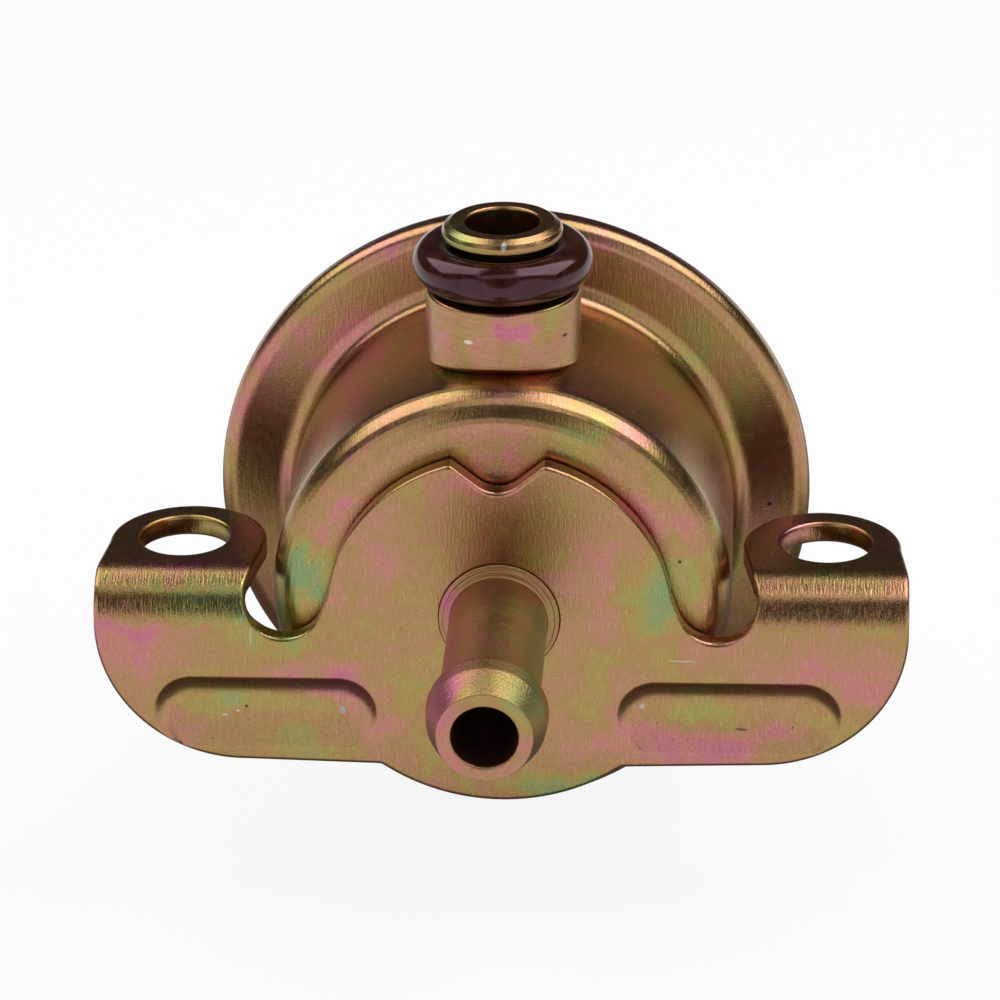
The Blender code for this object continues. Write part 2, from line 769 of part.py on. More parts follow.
def valve_carrier():
    """Turned holder: crimped mouth, ball bore, stem through the diaphragm, closed head riveted over."""
    bore = BALL_R + BALL_CLEAR
    front = carrier_front()
    seat = front + CARRIER_LIP + BALL_CLEAR + RETAINER + GAP
    pocket = RETAINER_R + BALL_CLEAR
    top = rivet_front() + RIVET
    corners = [
        (CARRIER_LIP_R, front, 0),
        (CARRIER_R, front, 0.3),
        (CARRIER_R, head_back(), 0),
        (CARRIER_STEM_R, head_back(), 0),
        (CARRIER_STEM_R, rivet_front(), 0),
        (RIVET_R, rivet_front(), 0.3),
        (RIVET_TOP_R, top, 0.5),
        (0, top, 0),
        (0, top - CARRIER_CAP, 0),
        (bore, top - CARRIER_CAP, 0),
        (bore, seat, 0),
        (pocket, seat, 0),
        (pocket, front + CARRIER_LIP, 0),
        (CARRIER_LIP_R, front + CARRIER_LIP, 0),
    ]
    turned("valve_carrier", corners, SMALL_SEGMENTS, steel("steel_carrier"))


def ball_retainer():
    """Washer that the carrier's lip holds, its hole smaller than the ball."""
    front = carrier_front() + CARRIER_LIP + BALL_CLEAR
    corners = [
        (RETAINER_HOLE_R, front, 0),
        (RETAINER_R, front, 0),
        (RETAINER_R, front + RETAINER, 0),
        (RETAINER_HOLE_R, front + RETAINER, 0),
    ]
    turned("ball_retainer", corners, SMALL_SEGMENTS, steel("steel_retainer"))


def ball_spring():
    start = ball_centre() + sqrt(BALL_R**2 - BALL_COIL_R**2) + BALL_WIRE_R + GAP
    end = rivet_front() + RIVET - CARRIER_CAP - BALL_WIRE_R - GAP
    coil("ball_spring", BALL_COIL_R, BALL_WIRE_R, start, lambda turn: (end - start) * turn / BALL_COIL_TURNS,
         BALL_COIL_TURNS, 12, 5, steel("steel_ball_spring"))


def support_washer():
    """Stiff washer on the fuel side of the diaphragm, its edge turned away from the rubber."""
    back = diaphragm_front() - GAP
    hole = CARRIER_STEM_R + STEM_CLEAR
    corners = [
        (hole, back - WASHER, 0),
        (WASHER_R - WASHER_TURN, back - WASHER, 0),
        (WASHER_R - WASHER / 2, back - WASHER - WASHER_TURN / 2, 0),
        (WASHER_R, back - WASHER / 2 - WASHER_TURN / 2, 0),
        (WASHER_R - WASHER_TURN, back, WASHER),
        (hole, back, 0),
    ]
    turned("support_washer", corners, MID_SEGMENTS, steel("steel_washer"))


def spring_plate():
    """Pressed plate on the spring side, with an upturned rim that centres the main spring."""
    front = diaphragm_front() + RUBBER + GAP
    hole = CARRIER_STEM_R + STEM_CLEAR
    top = front + SPRING_PLATE + SPRING_PLATE_RIM
    corners = [
        (hole, front, 0),
        (SPRING_PLATE_R, front, 0.9),
        (SPRING_PLATE_R, top, 0.3),
        (SPRING_PLATE_R - SPRING_PLATE, top, 0.3),
        (SPRING_PLATE_R - SPRING_PLATE, front + SPRING_PLATE, 0.2),
        (hole, front + SPRING_PLATE, 0),
    ]
    turned("spring_plate", corners, MID_SEGMENTS, steel("steel_spring_plate"))


def upper_seat_front():
    return COVER_END_Y - COVER_SHEET - GAP - UPPER_SEAT


def upper_spring_seat():
    """Pressed seat against the cover's end, its boss inside the spring and a hole for the vacuum."""
    front = upper_seat_front()
    corners = [
        (UPPER_HOLE_R, front - UPPER_BOSS, 0),
        (UPPER_BOSS_R, front - UPPER_BOSS, 0.7),
        (UPPER_BOSS_R, front, 0),
        (UPPER_SEAT_R, front, 0.4),
        (UPPER_SEAT_R - UPPER_SEAT, front + UPPER_SEAT, 0),
        (UPPER_BOSS_R - UPPER_SEAT, front + UPPER_SEAT, 0),
        (UPPER_BOSS_R - UPPER_SEAT, front + UPPER_SEAT - UPPER_BOSS, 0),
        (UPPER_HOLE_R, front + UPPER_SEAT - UPPER_BOSS, 0),
    ]
    turned("upper_spring_seat", corners, MID_SEGMENTS, steel("steel_upper_seat"))


def main_spring():
    """Compression spring between the spring plate and the upper seat, with closed end turns."""
    start = diaphragm_front() + RUBBER + GAP + SPRING_PLATE + GAP + COIL_WIRE_R
    end = upper_seat_front() - GAP - COIL_WIRE_R
    dead = COIL_DEAD_TURNS * COIL_DEAD_PITCH
    live = COIL_TURNS - 2 * COIL_DEAD_TURNS
    pitch = (end - start - 2 * dead) / live

    def height_at(turn):
        if turn <= COIL_DEAD_TURNS:
            return COIL_DEAD_PITCH * turn
        if turn <= COIL_DEAD_TURNS + live:
            return dead + pitch * (turn - COIL_DEAD_TURNS)
        return dead + pitch * live + COIL_DEAD_PITCH * (turn - COIL_DEAD_TURNS - live)

    coil("main_spring", COIL_R, COIL_WIRE_R, start, height_at, COIL_TURNS, 16, 6, steel("spring_wire"))


def vacuum_nipple():
    """Short steel tube brazed into the cover's end, with a flange and an end bead for the hose."""
    seat = COVER_END_Y + GAP
    corners = [
        (NIPPLE_BORE_R, COVER_END_Y - COVER_SHEET, 0),
        (NIPPLE_R, COVER_END_Y - COVER_SHEET, 0),
        (NIPPLE_R, seat, 0),
        (NIPPLE_FLANGE_R, seat, 0),
        (NIPPLE_FLANGE_R, seat + NIPPLE_FLANGE, 0.3),
        (NIPPLE_R, seat + NIPPLE_FLANGE, 0.4),
        (NIPPLE_R, NIPPLE_BEAD_Y - NIPPLE_BEAD, 0.3),
        (NIPPLE_BEAD_R, NIPPLE_BEAD_Y - NIPPLE_BEAD / 2, 0.4),
        (NIPPLE_BEAD_R, NIPPLE_BEAD_Y + NIPPLE_BEAD / 2, 0.4),
        (NIPPLE_R, NIPPLE_END_Y, 0.2),
        (NIPPLE_BORE_R, NIPPLE_END_Y, 0),
    ]
    turned("vacuum_nipple", corners, SMALL_SEGMENTS, zinc("zinc_vacuum_nipple"))


def saddle_height(radius, angle):
    """Height at which the plug meets the housing's round wall, with its clearance."""
    across = radius * sin(angle)
    return sqrt((CUP_R + GAP)**2 - across**2)


def inlet_fitting():
    """Turned plug: pilot in the housing's wall, saddle-ended collar, groove for the ring, rounded tip.

    Heights below PORT_FROM_WALL are counted from the housing's round wall.
    """
    profile = rounded([
        (PORT_PILOT_R, 0, 0),
        (PORT_COLLAR_R - PORT_COLLAR_CHAMFER, 0, 0),
        (PORT_COLLAR_R, PORT_COLLAR_CHAMFER, 0),
        (PORT_COLLAR_R, PORT_COLLAR_TOP_Z, 0.35),
        (PORT_GROOVE_R, PORT_COLLAR_TOP_Z, 0.25),
        (PORT_GROOVE_R, PORT_TIP_LAND_Z, 0.25),
        (PORT_TIP_R, PORT_TIP_LAND_Z, 0),
        (PORT_TIP_R, PORT_TIP_Z - PORT_TIP_ROUND, 0),
        (PORT_TIP_SHOULDER_R, PORT_TIP_Z - PORT_TIP_ROUND / 2, 0),
        (PORT_TIP_FLAT_R, PORT_TIP_Z, 0),
        (PORT_BORE_R, PORT_TIP_Z, 0.2),
        (PORT_BORE_R, PORT_PILOT_END_Z, 0),
        (PORT_PILOT_R, PORT_PILOT_END_Z, 0),
    ])

    def place(radius, angle, height):
        if height < PORT_FROM_WALL:
            height += saddle_height(radius, angle)
        return about_port(radius, angle, height)

    points, faces = lathe_mesh(profile, MID_SEGMENTS, place)
    add_object("inlet_fitting", points, faces, zinc("zinc_inlet_fitting"))


def inlet_o_ring():
    half = ORING_SECTION / 2
    sides = 10
    profile = [(ORING_OUTER_R - half + half * cos(2 * pi * k / sides), ORING_Z + half * sin(2 * pi * k / sides))
               for k in range(sides)]
    points, faces = lathe_mesh(profile, MID_SEGMENTS, about_port)
    add_object("inlet_o_ring", points, faces, rubber("ring_rubber", (0.07, 0.018, 0.014)))


def main():
    clear_scene()
    mounting_bracket()
    fuel_housing()
    spring_housing()
    vacuum_nipple()
    return_tube()
    valve_seat()
    inlet_fitting()
    inlet_o_ring()
    diaphragm()
    support_washer()
    spring_plate()
    valve_carrier()
    ball_retainer()
    valve_ball()
    ball_spring()
    valve_disc()
    main_spring()
    upper_spring_seat()


main()
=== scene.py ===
"""Fuel pressure regulator in a plain studio: finely shaped outer pieces and procedural finishes.

Sizes are in millimetres and turned into metres when a mesh is made. Piece coordinates are x to the
right, depth behind the bracket's front face, and height above the housing's axis.
"""

import logging
from dataclasses import dataclass
from enum import Enum
from math import atan2, cos, pi, radians, sin, sqrt
from typing import Any, Callable, Sequence, Union

import bpy
import numpy as np
from bpy.types import ID, Material, Mesh, NodeSocket, NodeTree, Object
from mathutils import Matrix, Vector
from mathutils.geometry import delaunay_2d_cdt


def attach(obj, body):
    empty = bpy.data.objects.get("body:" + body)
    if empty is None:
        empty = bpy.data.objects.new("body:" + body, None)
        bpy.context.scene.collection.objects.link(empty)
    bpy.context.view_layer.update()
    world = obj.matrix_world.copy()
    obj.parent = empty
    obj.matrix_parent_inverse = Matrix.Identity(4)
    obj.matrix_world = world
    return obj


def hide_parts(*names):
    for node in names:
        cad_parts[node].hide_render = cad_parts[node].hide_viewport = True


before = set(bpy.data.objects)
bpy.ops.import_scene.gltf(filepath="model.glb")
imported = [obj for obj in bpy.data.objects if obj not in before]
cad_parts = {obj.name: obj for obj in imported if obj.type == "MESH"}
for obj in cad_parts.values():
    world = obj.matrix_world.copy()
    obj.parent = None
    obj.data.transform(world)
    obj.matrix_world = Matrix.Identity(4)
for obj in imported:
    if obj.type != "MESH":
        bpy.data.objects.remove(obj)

logging.basicConfig(level=logging.INFO, format="%(message)s")
log = logging.getLogger("regulator")

MM = 0.001
PORT_Y = 12.0              # inlet axis behind the bracket's front face
AXIS_BELOW_EARS = 2.85
SHARED_ORIGIN = np.array([0.0, PORT_Y, AXIS_BELOW_EARS])
GAP = 0.3                  # clearance that stands for a pressed or brazed joint
SHARP_ANGLE = radians(38)
EDGE_BREAK = 0.07          # radius of an edge that the CAD leaves sharp
ARC_SHARE = 0.45           # most of a side that the arc of a sharp edge may use
NO_ARC = radians(88)       # half angle above which a corner counts as straight
ARC_STEP = 0.3             # distance between the points of an arc or outline
SUPPORT = 0.12             # distance of the extra edge loops that keep flats flat
BORDER_STEP = 0.2          # distance between the border points that the grid is kept away from
MOST_LEAN = 0.75           # least cosine between a corner's offset direction and its edges' normals
EDGES_AT_ONCE, POINTS_AT_ONCE = 200, 4000
MERGE_WITHIN = 1e-6
TINY = 1e-9

Array = np.ndarray
Corner = tuple[float, ...]
Pair = tuple[float, float]
Place = tuple[float, float, float]
Colour = tuple[float, float, float]
Placer = Callable[[Array, Array, Array], Array]


# ---- Meshes ----


@dataclass
class Surface:
    """A closed surface in piece coordinates.

    Attributes:
        points: N by 3 array, in millimetres.
        faces: Arrays of M by 3 or M by 4 point numbers.
    """

    points: Array
    faces: list[Array]

    def triangles(self) -> Array:
        """All faces as triangles, with each four-sided one as two."""
        halves = ([0, 1, 2], [0, 2, 3])
        return np.vstack([part[:, half] for part in self.faces for half in halves[:part.shape[1] - 2]])

    def volume(self) -> float:
        """Signed volume: the sum of the tetrahedra between the origin and each triangle."""
        return float(np.linalg.det(self.points[self.triangles()]).sum() / 6)

    def outward(self) -> "Surface":
        """The same surface with its faces turned outwards."""
        if self.volume() >= 0:
            return self
        return Surface(self.points, [f[:, ::-1] for f in self.faces])

    def to_object(self, name: str, material: Material) -> Object:
        """Makes a smooth-shaded object in the shared frame.

        Args:
            name: The object's name.
            material: Its only material.

        Returns:
            The linked object, at the origin and unturned.
        """
        shape = self.outward()
        mesh = bpy.data.meshes.new(name)
        faces = [face for part in shape.faces for face in part.tolist()]
        mesh.from_pydata(((shape.points - SHARED_ORIGIN) * MM).tolist(), [], faces)
        mesh.materials.append(material)
        shade(mesh)
        return linked(name, mesh)


def shade(mesh: Mesh) -> None:
    """Shades a mesh smoothly, except over its sharp edges."""
    mesh.shade_smooth()
    mesh.set_sharp_from_angle(angle=SHARP_ANGLE)


def linked(name: str, data: ID) -> Object:
    """A new object of the scene, which shows these data."""
    obj = bpy.data.objects.new(name, data)
    bpy.context.scene.collection.objects.link(obj)
    return obj


def rounded(corners: Sequence[Corner], steps: int = 6) -> Array:
    """A closed path through corners, each turned into an arc.

    The arc's centre lies on the corner's bisector at radius / sin(half angle), and its points turn
    about that centre from one tangent point to the other.

    Args:
        corners: (x, y) or (x, y, radius) values. A missing or zero radius becomes EDGE_BREAK.
        steps: Straight steps of one arc.

    Returns:
        N by 2 array of points, with support points beside each arc.
    """
    path: list[Array] = []
    for i, corner in enumerate(corners):
        here = np.array(corner[:2], float)
        before = np.array(corners[i - 1][:2], float) - here
        after = np.array(corners[(i + 1) % len(corners)][:2], float) - here
        reach_most = ARC_SHARE * min(np.linalg.norm(before), np.linalg.norm(after))
        before, after = before / np.linalg.norm(before), after / np.linalg.norm(after)
        half = np.arccos(np.clip(before @ after, -1, 1)) / 2
        if half > NO_ARC:
            path.append(here[None])
            continue
        radius = corner[2] if len(corner) > 2 and corner[2] > 0 else EDGE_BREAK
        if radius <= EDGE_BREAK:
            radius = min(radius, reach_most * np.tan(half))
        reach = radius / np.tan(half)
        middle = (before + after) / np.linalg.norm(before + after)
        centre = here + middle * radius / np.sin(half)
        start, end = here + before * reach - centre, here + after * reach - centre
        turn = np.arctan2(start[0] * end[1] - start[1] * end[0], start @ end)
        angle = turn * np.linspace(0, 1, steps + 1)[:, None]
        side = np.array([-start[1], start[0]])
        path.append(centre + start * np.cos(angle) + side * np.sin(angle))
    return supported(np.vstack(path))


def supported(path: Array, room: float = SUPPORT) -> Array:
    """A closed path with a point added near both ends of each long straight step.

    Args:
        path: N by 2 array.
        room: Distance of the added points from the ends.

    Returns:
        The longer path.
    """
    ahead = np.roll(path, -1, axis=0)
    length = np.linalg.norm(ahead - path, axis=1)
    share = np.where(length > 3 * room, room / np.maximum(length, TINY), np.nan)
    near = path + (ahead - path) * share[:, None]
    far = ahead - (ahead - path) * share[:, None]
    merged = np.stack([path, near, far], axis=1).reshape(-1, 2)
    return merged[~np.isnan(merged[:, 0])]


def about_housing(radius: Array, angle: Array, depth: Array) -> Array:
    """Points at a radius and an angle from the top about the housing's axis."""
    return np.stack([radius * np.sin(angle), depth, radius * np.cos(angle)], axis=-1)


def about_port(radius: Array, angle: Array, height: Array) -> Array:
    """Points at a radius and an angle from the rear about the inlet port's axis."""
    return np.stack([radius * np.sin(angle), PORT_Y - radius * np.cos(angle), height], axis=-1)


def turned(profile: Array, segments: int, place: Placer = about_housing) -> Surface:
    """Turns a closed profile about an axis.

    The grid holds one row of points per profile point, all at the same radius and height, at even
    angles. Rows and columns both close on themselves.

    Args:
        profile: N by 2 array of (radius, height).
        segments: Points round one turn.
        place: Gives the points for radius, angle and height grids.

    Returns:
        The closed surface.
    """
    rows, columns = len(profile), segments
    angle = np.arange(columns) * 2 * pi / columns
    radius, turn = np.meshgrid(profile[:, 0], angle, indexing="ij")
    height = np.broadcast_to(profile[:, 1][:, None], radius.shape)
    i, k = np.meshgrid(np.arange(rows), np.arange(columns), indexing="ij")
    below, right = (i + 1) % rows, (k + 1) % columns
    corners = ((i, k), (below, k), (below, right), (i, right))
    quads = np.stack([row * columns + column for row, column in corners], -1)
    return Surface(place(radius, turn, height).reshape(-1, 3), [quads.reshape(-1, 4)])


# ---- Shader nodes ----


def operator(operation: str, swapped: bool = False) -> Callable[..., "Signal"]:
    """A method that puts a signal and another value through one math node, perhaps swapped."""
    def apply(self: "Signal", other: "Value" = 0.0) -> "Signal":
        """The node's result."""
        pair = (other, self) if swapped else (self, other)
        return self.net.add("Math", {"operation": operation}, dict(enumerate(pair)))
    return apply


class Signal:
    """A socket of a node tree that can be used in arithmetic; angles are in radians."""

    __add__, __radd__ = operator("ADD"), operator("ADD", swapped=True)
    __sub__, __rsub__ = operator("SUBTRACT"), operator("SUBTRACT", swapped=True)
    __mul__, __rmul__ = operator("MULTIPLY"), operator("MULTIPLY", swapped=True)
    __truediv__, most, angle_to = operator("DIVIDE"), operator("MAXIMUM"), operator("ARCTAN2")
    absolute, sine, arcsine = operator("ABSOLUTE"), operator("SINE"), operator("ARCSINE")

    def __init__(self, net: "Net", socket: NodeSocket) -> None:
        """Keeps the socket and the net that it belongs to."""
        self.net = net
        self.socket = socket

    def __neg__(self) -> "Signal":
        """The value with its sign turned."""
        return self * -1.0

    def other(self, output: int | str) -> "Signal":
        """Another output of the same node."""
        return Signal(self.net, self.socket.node.outputs[output])

    def smooth(self, low: float, high: float) -> "Signal":
        """0 at low and 1 at high, eased between them."""
        settings = {"data_type": "FLOAT", "interpolation_type": "SMOOTHSTEP"}
        return self.net.add("MapRange", settings, {0: self, 1: low, 2: high, 3: 0.0, 4: 1.0})


Value = Union[float, Signal]


class Net:
    """The node tree of one material or world."""

    def __init__(self, tree: NodeTree) -> None:
        """Empties the tree."""
        self.tree = tree
        tree.nodes.clear()

    def add(self, kind: str, settings: dict[str, Any] | None = None,
            inputs: dict[Any, Any] | None = None, output: int = 0) -> Signal:
        """Adds a node.

        Args:
            kind: The node's type after ShaderNode.
            settings: Attributes that are set before the inputs.
            inputs: Values or signals by socket name or number.
            output: Number of the output to return.

        Returns:
            The chosen output.
        """
        node = self.tree.nodes.new("ShaderNode" + kind)
        for key, value in (settings or {}).items():
            setattr(node, key, value)
        for key, value in (inputs or {}).items():
            if isinstance(value, Signal):
                self.tree.links.new(value.socket, node.inputs[key])
            else:
                node.inputs[key].default_value = value
        return Signal(self, node.outputs[output] if len(node.outputs) else None)

    def position(self) -> Signal:
        """Object coordinates in millimetres, measured in piece coordinates."""
        place = self.add("TexCoord", output=3)
        place = self.vector("SCALE", place, scale=1 / MM)
        return self.vector("ADD", place, tuple(SHARED_ORIGIN))

    def vector(self, operation: str, a: Any, b: Any = None, scale: Value | None = None) -> Signal:
        """A vector operation on one or two vectors, or a vector and a scale."""
        inputs = {key: value for key, value in ((0, a), (1, b), (3, scale)) if value is not None}
        return self.add("VectorMath", {"operation": operation}, inputs, int(operation == "LENGTH"))

    def split(self, vector: Signal) -> tuple[Signal, Signal, Signal]:
        """The three parts of a vector."""
        x = self.add("SeparateXYZ", inputs={0: vector})
        return x, x.other(1), x.other(2)

    def combine(self, x: Value, y: Value, z: Value) -> Signal:
        """A vector of three values."""
        return self.add("CombineXYZ", inputs={0: x, 1: y, 2: z})

    def noise(self, place: Signal, scale: float, detail: float = 2.0, roughness: float = 0.5) -> Signal:
        """Smooth noise between 0 and 1, with this many bumps a millimetre."""
        inputs = {"Vector": place, "Scale": scale, "Detail": detail, "Roughness": roughness}
        return self.add("TexNoise", {"noise_dimensions": "3D"}, inputs)

    def wander(self, place: Signal, scale: float, detail: float, size: float) -> Signal:
        """Smooth noise about 0 with a range of this size."""
        return (self.noise(place, scale, detail) - 0.5) * size

    def across(self, a: Value, b: Value) -> Signal:
        """Distance from an axis, from the two coordinates across it."""
        return self.vector("LENGTH", self.combine(a, b, 0.0))

    def mix(self, factor: Value, a: Any, b: Any) -> Signal:
        """A colour between a and b."""
        first, second = (c if isinstance(c, Signal) else (*c, 1.0) for c in (a, b))
        return self.add("Mix", {"data_type": "RGBA"}, {0: factor, 6: first, 7: second}, 2)

    def ramp(self, value: Signal, stops: Sequence[tuple[float, Colour]]) -> Signal:
        """A colour looked up along a row of stops."""
        node = self.add("ValToRGB", inputs={0: value})
        elements = node.socket.node.color_ramp.elements
        while len(elements) < len(stops):
            elements.new(1.0)
        for element, (place, colour) in zip(elements, stops):
            element.position = place
            element.color = (*colour, 1.0)
        return node

    def bump(self, height: Signal, depth: float, under: Signal | None = None) -> Signal:
        """Normals tilted by a height of 0 to 1 that stands for this many millimetres."""
        inputs = {"Strength": 1.0, "Distance": depth * MM, "Height": height}
        return self.add("Bump", inputs=inputs if under is None else {**inputs, "Normal": under})

    def surface(self, values: dict[str, Any]) -> None:
        """Ends the tree in a Principled shader with these inputs."""
        shader = self.add("BsdfPrincipled", inputs=values)
        self.add("OutputMaterial", inputs={0: shader})


def new_material(name: str) -> tuple[Material, Net]:
    """An empty node material and its net."""
    material = bpy.data.materials.new(name)
    material.use_nodes = True
    return material, Net(material.node_tree)


# ---- Finishes ----


class Marks(Enum):
    """How a metal piece was formed, which sets the direction of its fine marks."""

    PRESSED = "pressed"
    TURNED = "turned about the housing's axis"
    PORT = "turned about the port's axis"


@dataclass(frozen=True)
class Spot:
    """An oval region of the surface.

    Attributes:
        centre: Its middle, in piece coordinates.
        reach: Half its size along x, depth and height.
    """

    centre: Place
    reach: Place

    def cover(self, net: Net, place: Signal, outer: float, inner: float) -> Signal:
        """1 in the middle and 0 outside, eased between two shares of the reach."""
        away = net.vector("DIVIDE", net.vector("SUBTRACT", place, self.centre), self.reach)
        return net.vector("LENGTH", away).smooth(outer, inner)


@dataclass(frozen=True)
class Patch(Spot):
    """A spot where the film differs: shift is added to it, below 0 for pinker and above 0 for greener."""

    shift: float


@dataclass(frozen=True)
class Scuff(Spot):
    """A small rubbed or dirty spot that shows this colour."""

    colour: Colour


# The film's colour from its pink end to its green end.
FILM = (
    (0.00, (0.56, 0.17, 0.26)),
    (0.16, (0.56, 0.215, 0.21)),
    (0.34, (0.48, 0.25, 0.145)),
    (0.50, (0.43, 0.255, 0.11)),
    (0.66, (0.41, 0.305, 0.10)),
    (0.82, (0.34, 0.345, 0.115)),
    (1.00, (0.23, 0.35, 0.16)),
)
# Linear colours of the grain's hollows, its rubbed ridges, dark specks, and dust on rubber.
PIT_TONE, RIDGE_TONE, SPECK_TONE = (0.24, 0.13, 0.055), (0.62, 0.42, 0.24), (0.09, 0.05, 0.03)
DUST_TONE = (0.30, 0.24, 0.22)


@dataclass(frozen=True)
class Chromate:
    """Yellow-chromated zinc: satin metal under a film whose thickness colours it from pink to green.

    Attributes:
        name: The material's name.
        marks: Direction of its fine marks.
        film: Mean film, from 0 (pink) to 1 (green).
        spread: How far the film wanders.
        gloss: Mean roughness.
        bands: How far the film changes from ring to ring about the axis it was formed on.
        grain_depth: Depth of its drawn-out marks, in millimetres.
        pits: Depth of its even grain, in millimetres.
        fold: Heights between which a fold has opened the grain, or None.
        fold_gain: How much deeper the grain gets there.
        patches: Spots where the film differs.
        scuffs: Rubbed and dirty spots.
    """

    name: str
    marks: Marks = Marks.PRESSED
    film: float = 0.5
    spread: float = 0.75
    gloss: float = 0.24
    bands: float = 0.0
    grain_depth: float = 0.013
    pits: float = 0.014
    fold: Pair | None = None
    fold_gain: float = 2.6
    patches: tuple[Patch, ...] = ()
    scuffs: tuple[Scuff, ...] = ()

    def material(self) -> Material:
        """Builds the node material."""
        material, net = new_material(self.name)
        place = net.position()
        warp = net.add("TexNoise", inputs={"Vector": place, "Scale": 0.35, "Detail": 2.0}, output=1)
        drift = net.vector("SUBTRACT", warp, (0.5, 0.5, 0.5))
        bent, jagged = (net.vector("ADD", place, net.vector("SCALE", drift, scale=far))
                        for far in (4.0, 0.5))
        grain, fibre = net.noise(place, 6.0, 3.0, 0.65), self._fibre(net, place)
        speck = net.noise(place, 2.6, 1.0).smooth(0.76, 0.82)
        colour = net.ramp(self._thickness(net, place, bent), FILM)
        colour = net.mix(grain.smooth(0.32, 0.68) * 0.34, colour, PIT_TONE)
        colour = net.mix(fibre.smooth(0.50, 0.75) * 0.25, colour, RIDGE_TONE)
        colour = net.mix(speck * 0.6, colour, SPECK_TONE)
        rough = self.gloss + net.wander(place, 1.1, 3.0, 0.16) + speck * 0.2
        for scuff in self.scuffs:
            cover = scuff.cover(net, jagged, 1.15, 0.75)
            colour = net.mix(cover * 0.85, colour, scuff.colour)
            rough = rough + cover * 0.15
        if self.fold:
            _, _, height = net.split(place)
            low, high = self.fold
            opened = height.smooth(low, low + 1.5) * height.smooth(high, high - 1.0)
            fibre = fibre * (1.0 + opened * self.fold_gain)
        normal = net.bump(fibre, self.grain_depth, net.bump(grain, self.pits))
        net.surface({"Base Color": colour, "Metallic": 1.0, "Roughness": rough, "Normal": normal})
        return material

    def _thickness(self, net: Net, place: Signal, bent: Signal) -> Signal:
        """The film from 0 to 1: broad, middle and fine clouds, rings, and the patches."""
        film = self.film + net.wander(bent, 0.12, 2.0, 2 * self.spread)
        film = film + net.wander(bent, 0.45, 3.0, 0.55) + net.wander(place, 3.2, 2.0, 0.22)
        if self.bands > 0:
            film = film + (self._rings(net, place) - 0.5) * (2 * self.bands)
        for patch in self.patches:
            film = film + patch.cover(net, bent, 1.25, 0.25) * patch.shift
        return film

    def _about_axis(self, net: Net, place: Signal) -> tuple[Signal, Signal, Signal]:
        """Distance from the axis it was formed on, place along the axis, and angle about it."""
        x, depth, height = net.split(place)
        across, along = (depth - PORT_Y, height) if self.marks is Marks.PORT else (height, depth)
        return net.across(x, across), along, x.angle_to(across)

    def _rings(self, net: Net, place: Signal) -> Signal:
        """Slow noise that depends on the distance from the forming axis and hardly on the angle."""
        radius, along, angle = self._about_axis(net, place)
        return net.noise(net.combine(radius * 0.75, along * 0.6, angle * 0.8), 1.0, 2.0)

    def _fibre(self, net: Net, place: Signal) -> Signal:
        """Noise drawn out along the forming direction: round the axis, or up and down the sheet."""
        if self.marks is Marks.PRESSED:
            x, depth, height = net.split(place)
            return net.noise(net.combine(x * 6.0, depth * 0.9, height * 0.9), 1.0, 2.0)
        radius, along, angle = self._about_axis(net, place)
        return net.noise(net.combine(radius * 9.0, along * 9.0, angle * 1.5), 1.0, 2.0)


# Each patch and scuff was measured on the photograph.
BRACKET_PATCHES = (
    Patch((-31.1, 0.0, -2.3), (4.0, 4.0, 4.5), -0.50),
    Patch((-16.0, 0.0, -1.5), (4.5, 4.0, 3.0), 0.30),
    Patch((-26.0, 2.0, 1.0), (7.0, 2.5, 1.6), 0.32),
    Patch((-26.0, 4.2, 2.4), (7.0, 1.6, 1.0), -0.40),
    Patch((27.0, 0.0, -5.0), (5.0, 4.0, 4.0), -0.20),
    Patch((15.4, 0.0, -11.9), (4.5, 4.0, 2.2), -0.40),
    Patch((5.6, 0.0, -15.2), (5.5, 4.0, 2.4), 0.50),
    Patch((-5.9, 0.0, -15.2), (3.0, 4.0, 1.8), -0.35),
    Patch((12.5, 0.0, 3.0), (3.0, 4.0, 5.0), 0.22),
    Patch((-6.0, 0.0, 3.5), (2.5, 4.0, 4.0), 0.30),
    Patch((8.0, 0.0, 3.0), (2.0, 4.0, 5.0), -0.25),
    Patch((-26.0, 0.3, -0.4), (7.0, 1.5, 1.2), 0.30),
    Patch((-20.0, 0.0, -8.4), (8.0, 4.0, 1.2), 0.25),
    Patch((20.0, 0.0, -8.6), (8.0, 4.0, 1.2), 0.25),
    Patch((-12.6, 0.0, -6.6), (2.0, 4.0, 2.0), -0.30),
)
BRACKET_SCUFFS = (
    Scuff((-22.5, 0.8, -9.3), (0.22, 1.0, 0.12), (0.60, 0.56, 0.52)),
    Scuff((-21.5, 0.8, -9.0), (0.16, 1.0, 0.10), (0.66, 0.62, 0.58)),
    Scuff((-20.7, 0.8, -8.6), (0.14, 1.0, 0.14), (0.03, 0.02, 0.02)),
    Scuff((-12.9, 0.8, -8.7), (0.22, 1.0, 0.35), (0.36, 0.42, 0.50)),
    Scuff((11.5, 0.4, -8.1), (0.25, 1.0, 0.22), (0.50, 0.49, 0.46)),
    Scuff((19.5, 0.8, -9.9), (0.55, 1.0, 0.13), (0.16, 0.10, 0.06)),
    Scuff((14.7, 0.0, -3.6), (1.2, 0.6, 0.08), (0.58, 0.47, 0.34)),
    Scuff((-20.1, 0.0, -1.8), (0.08, 0.6, 0.8), (0.58, 0.47, 0.34)),
)
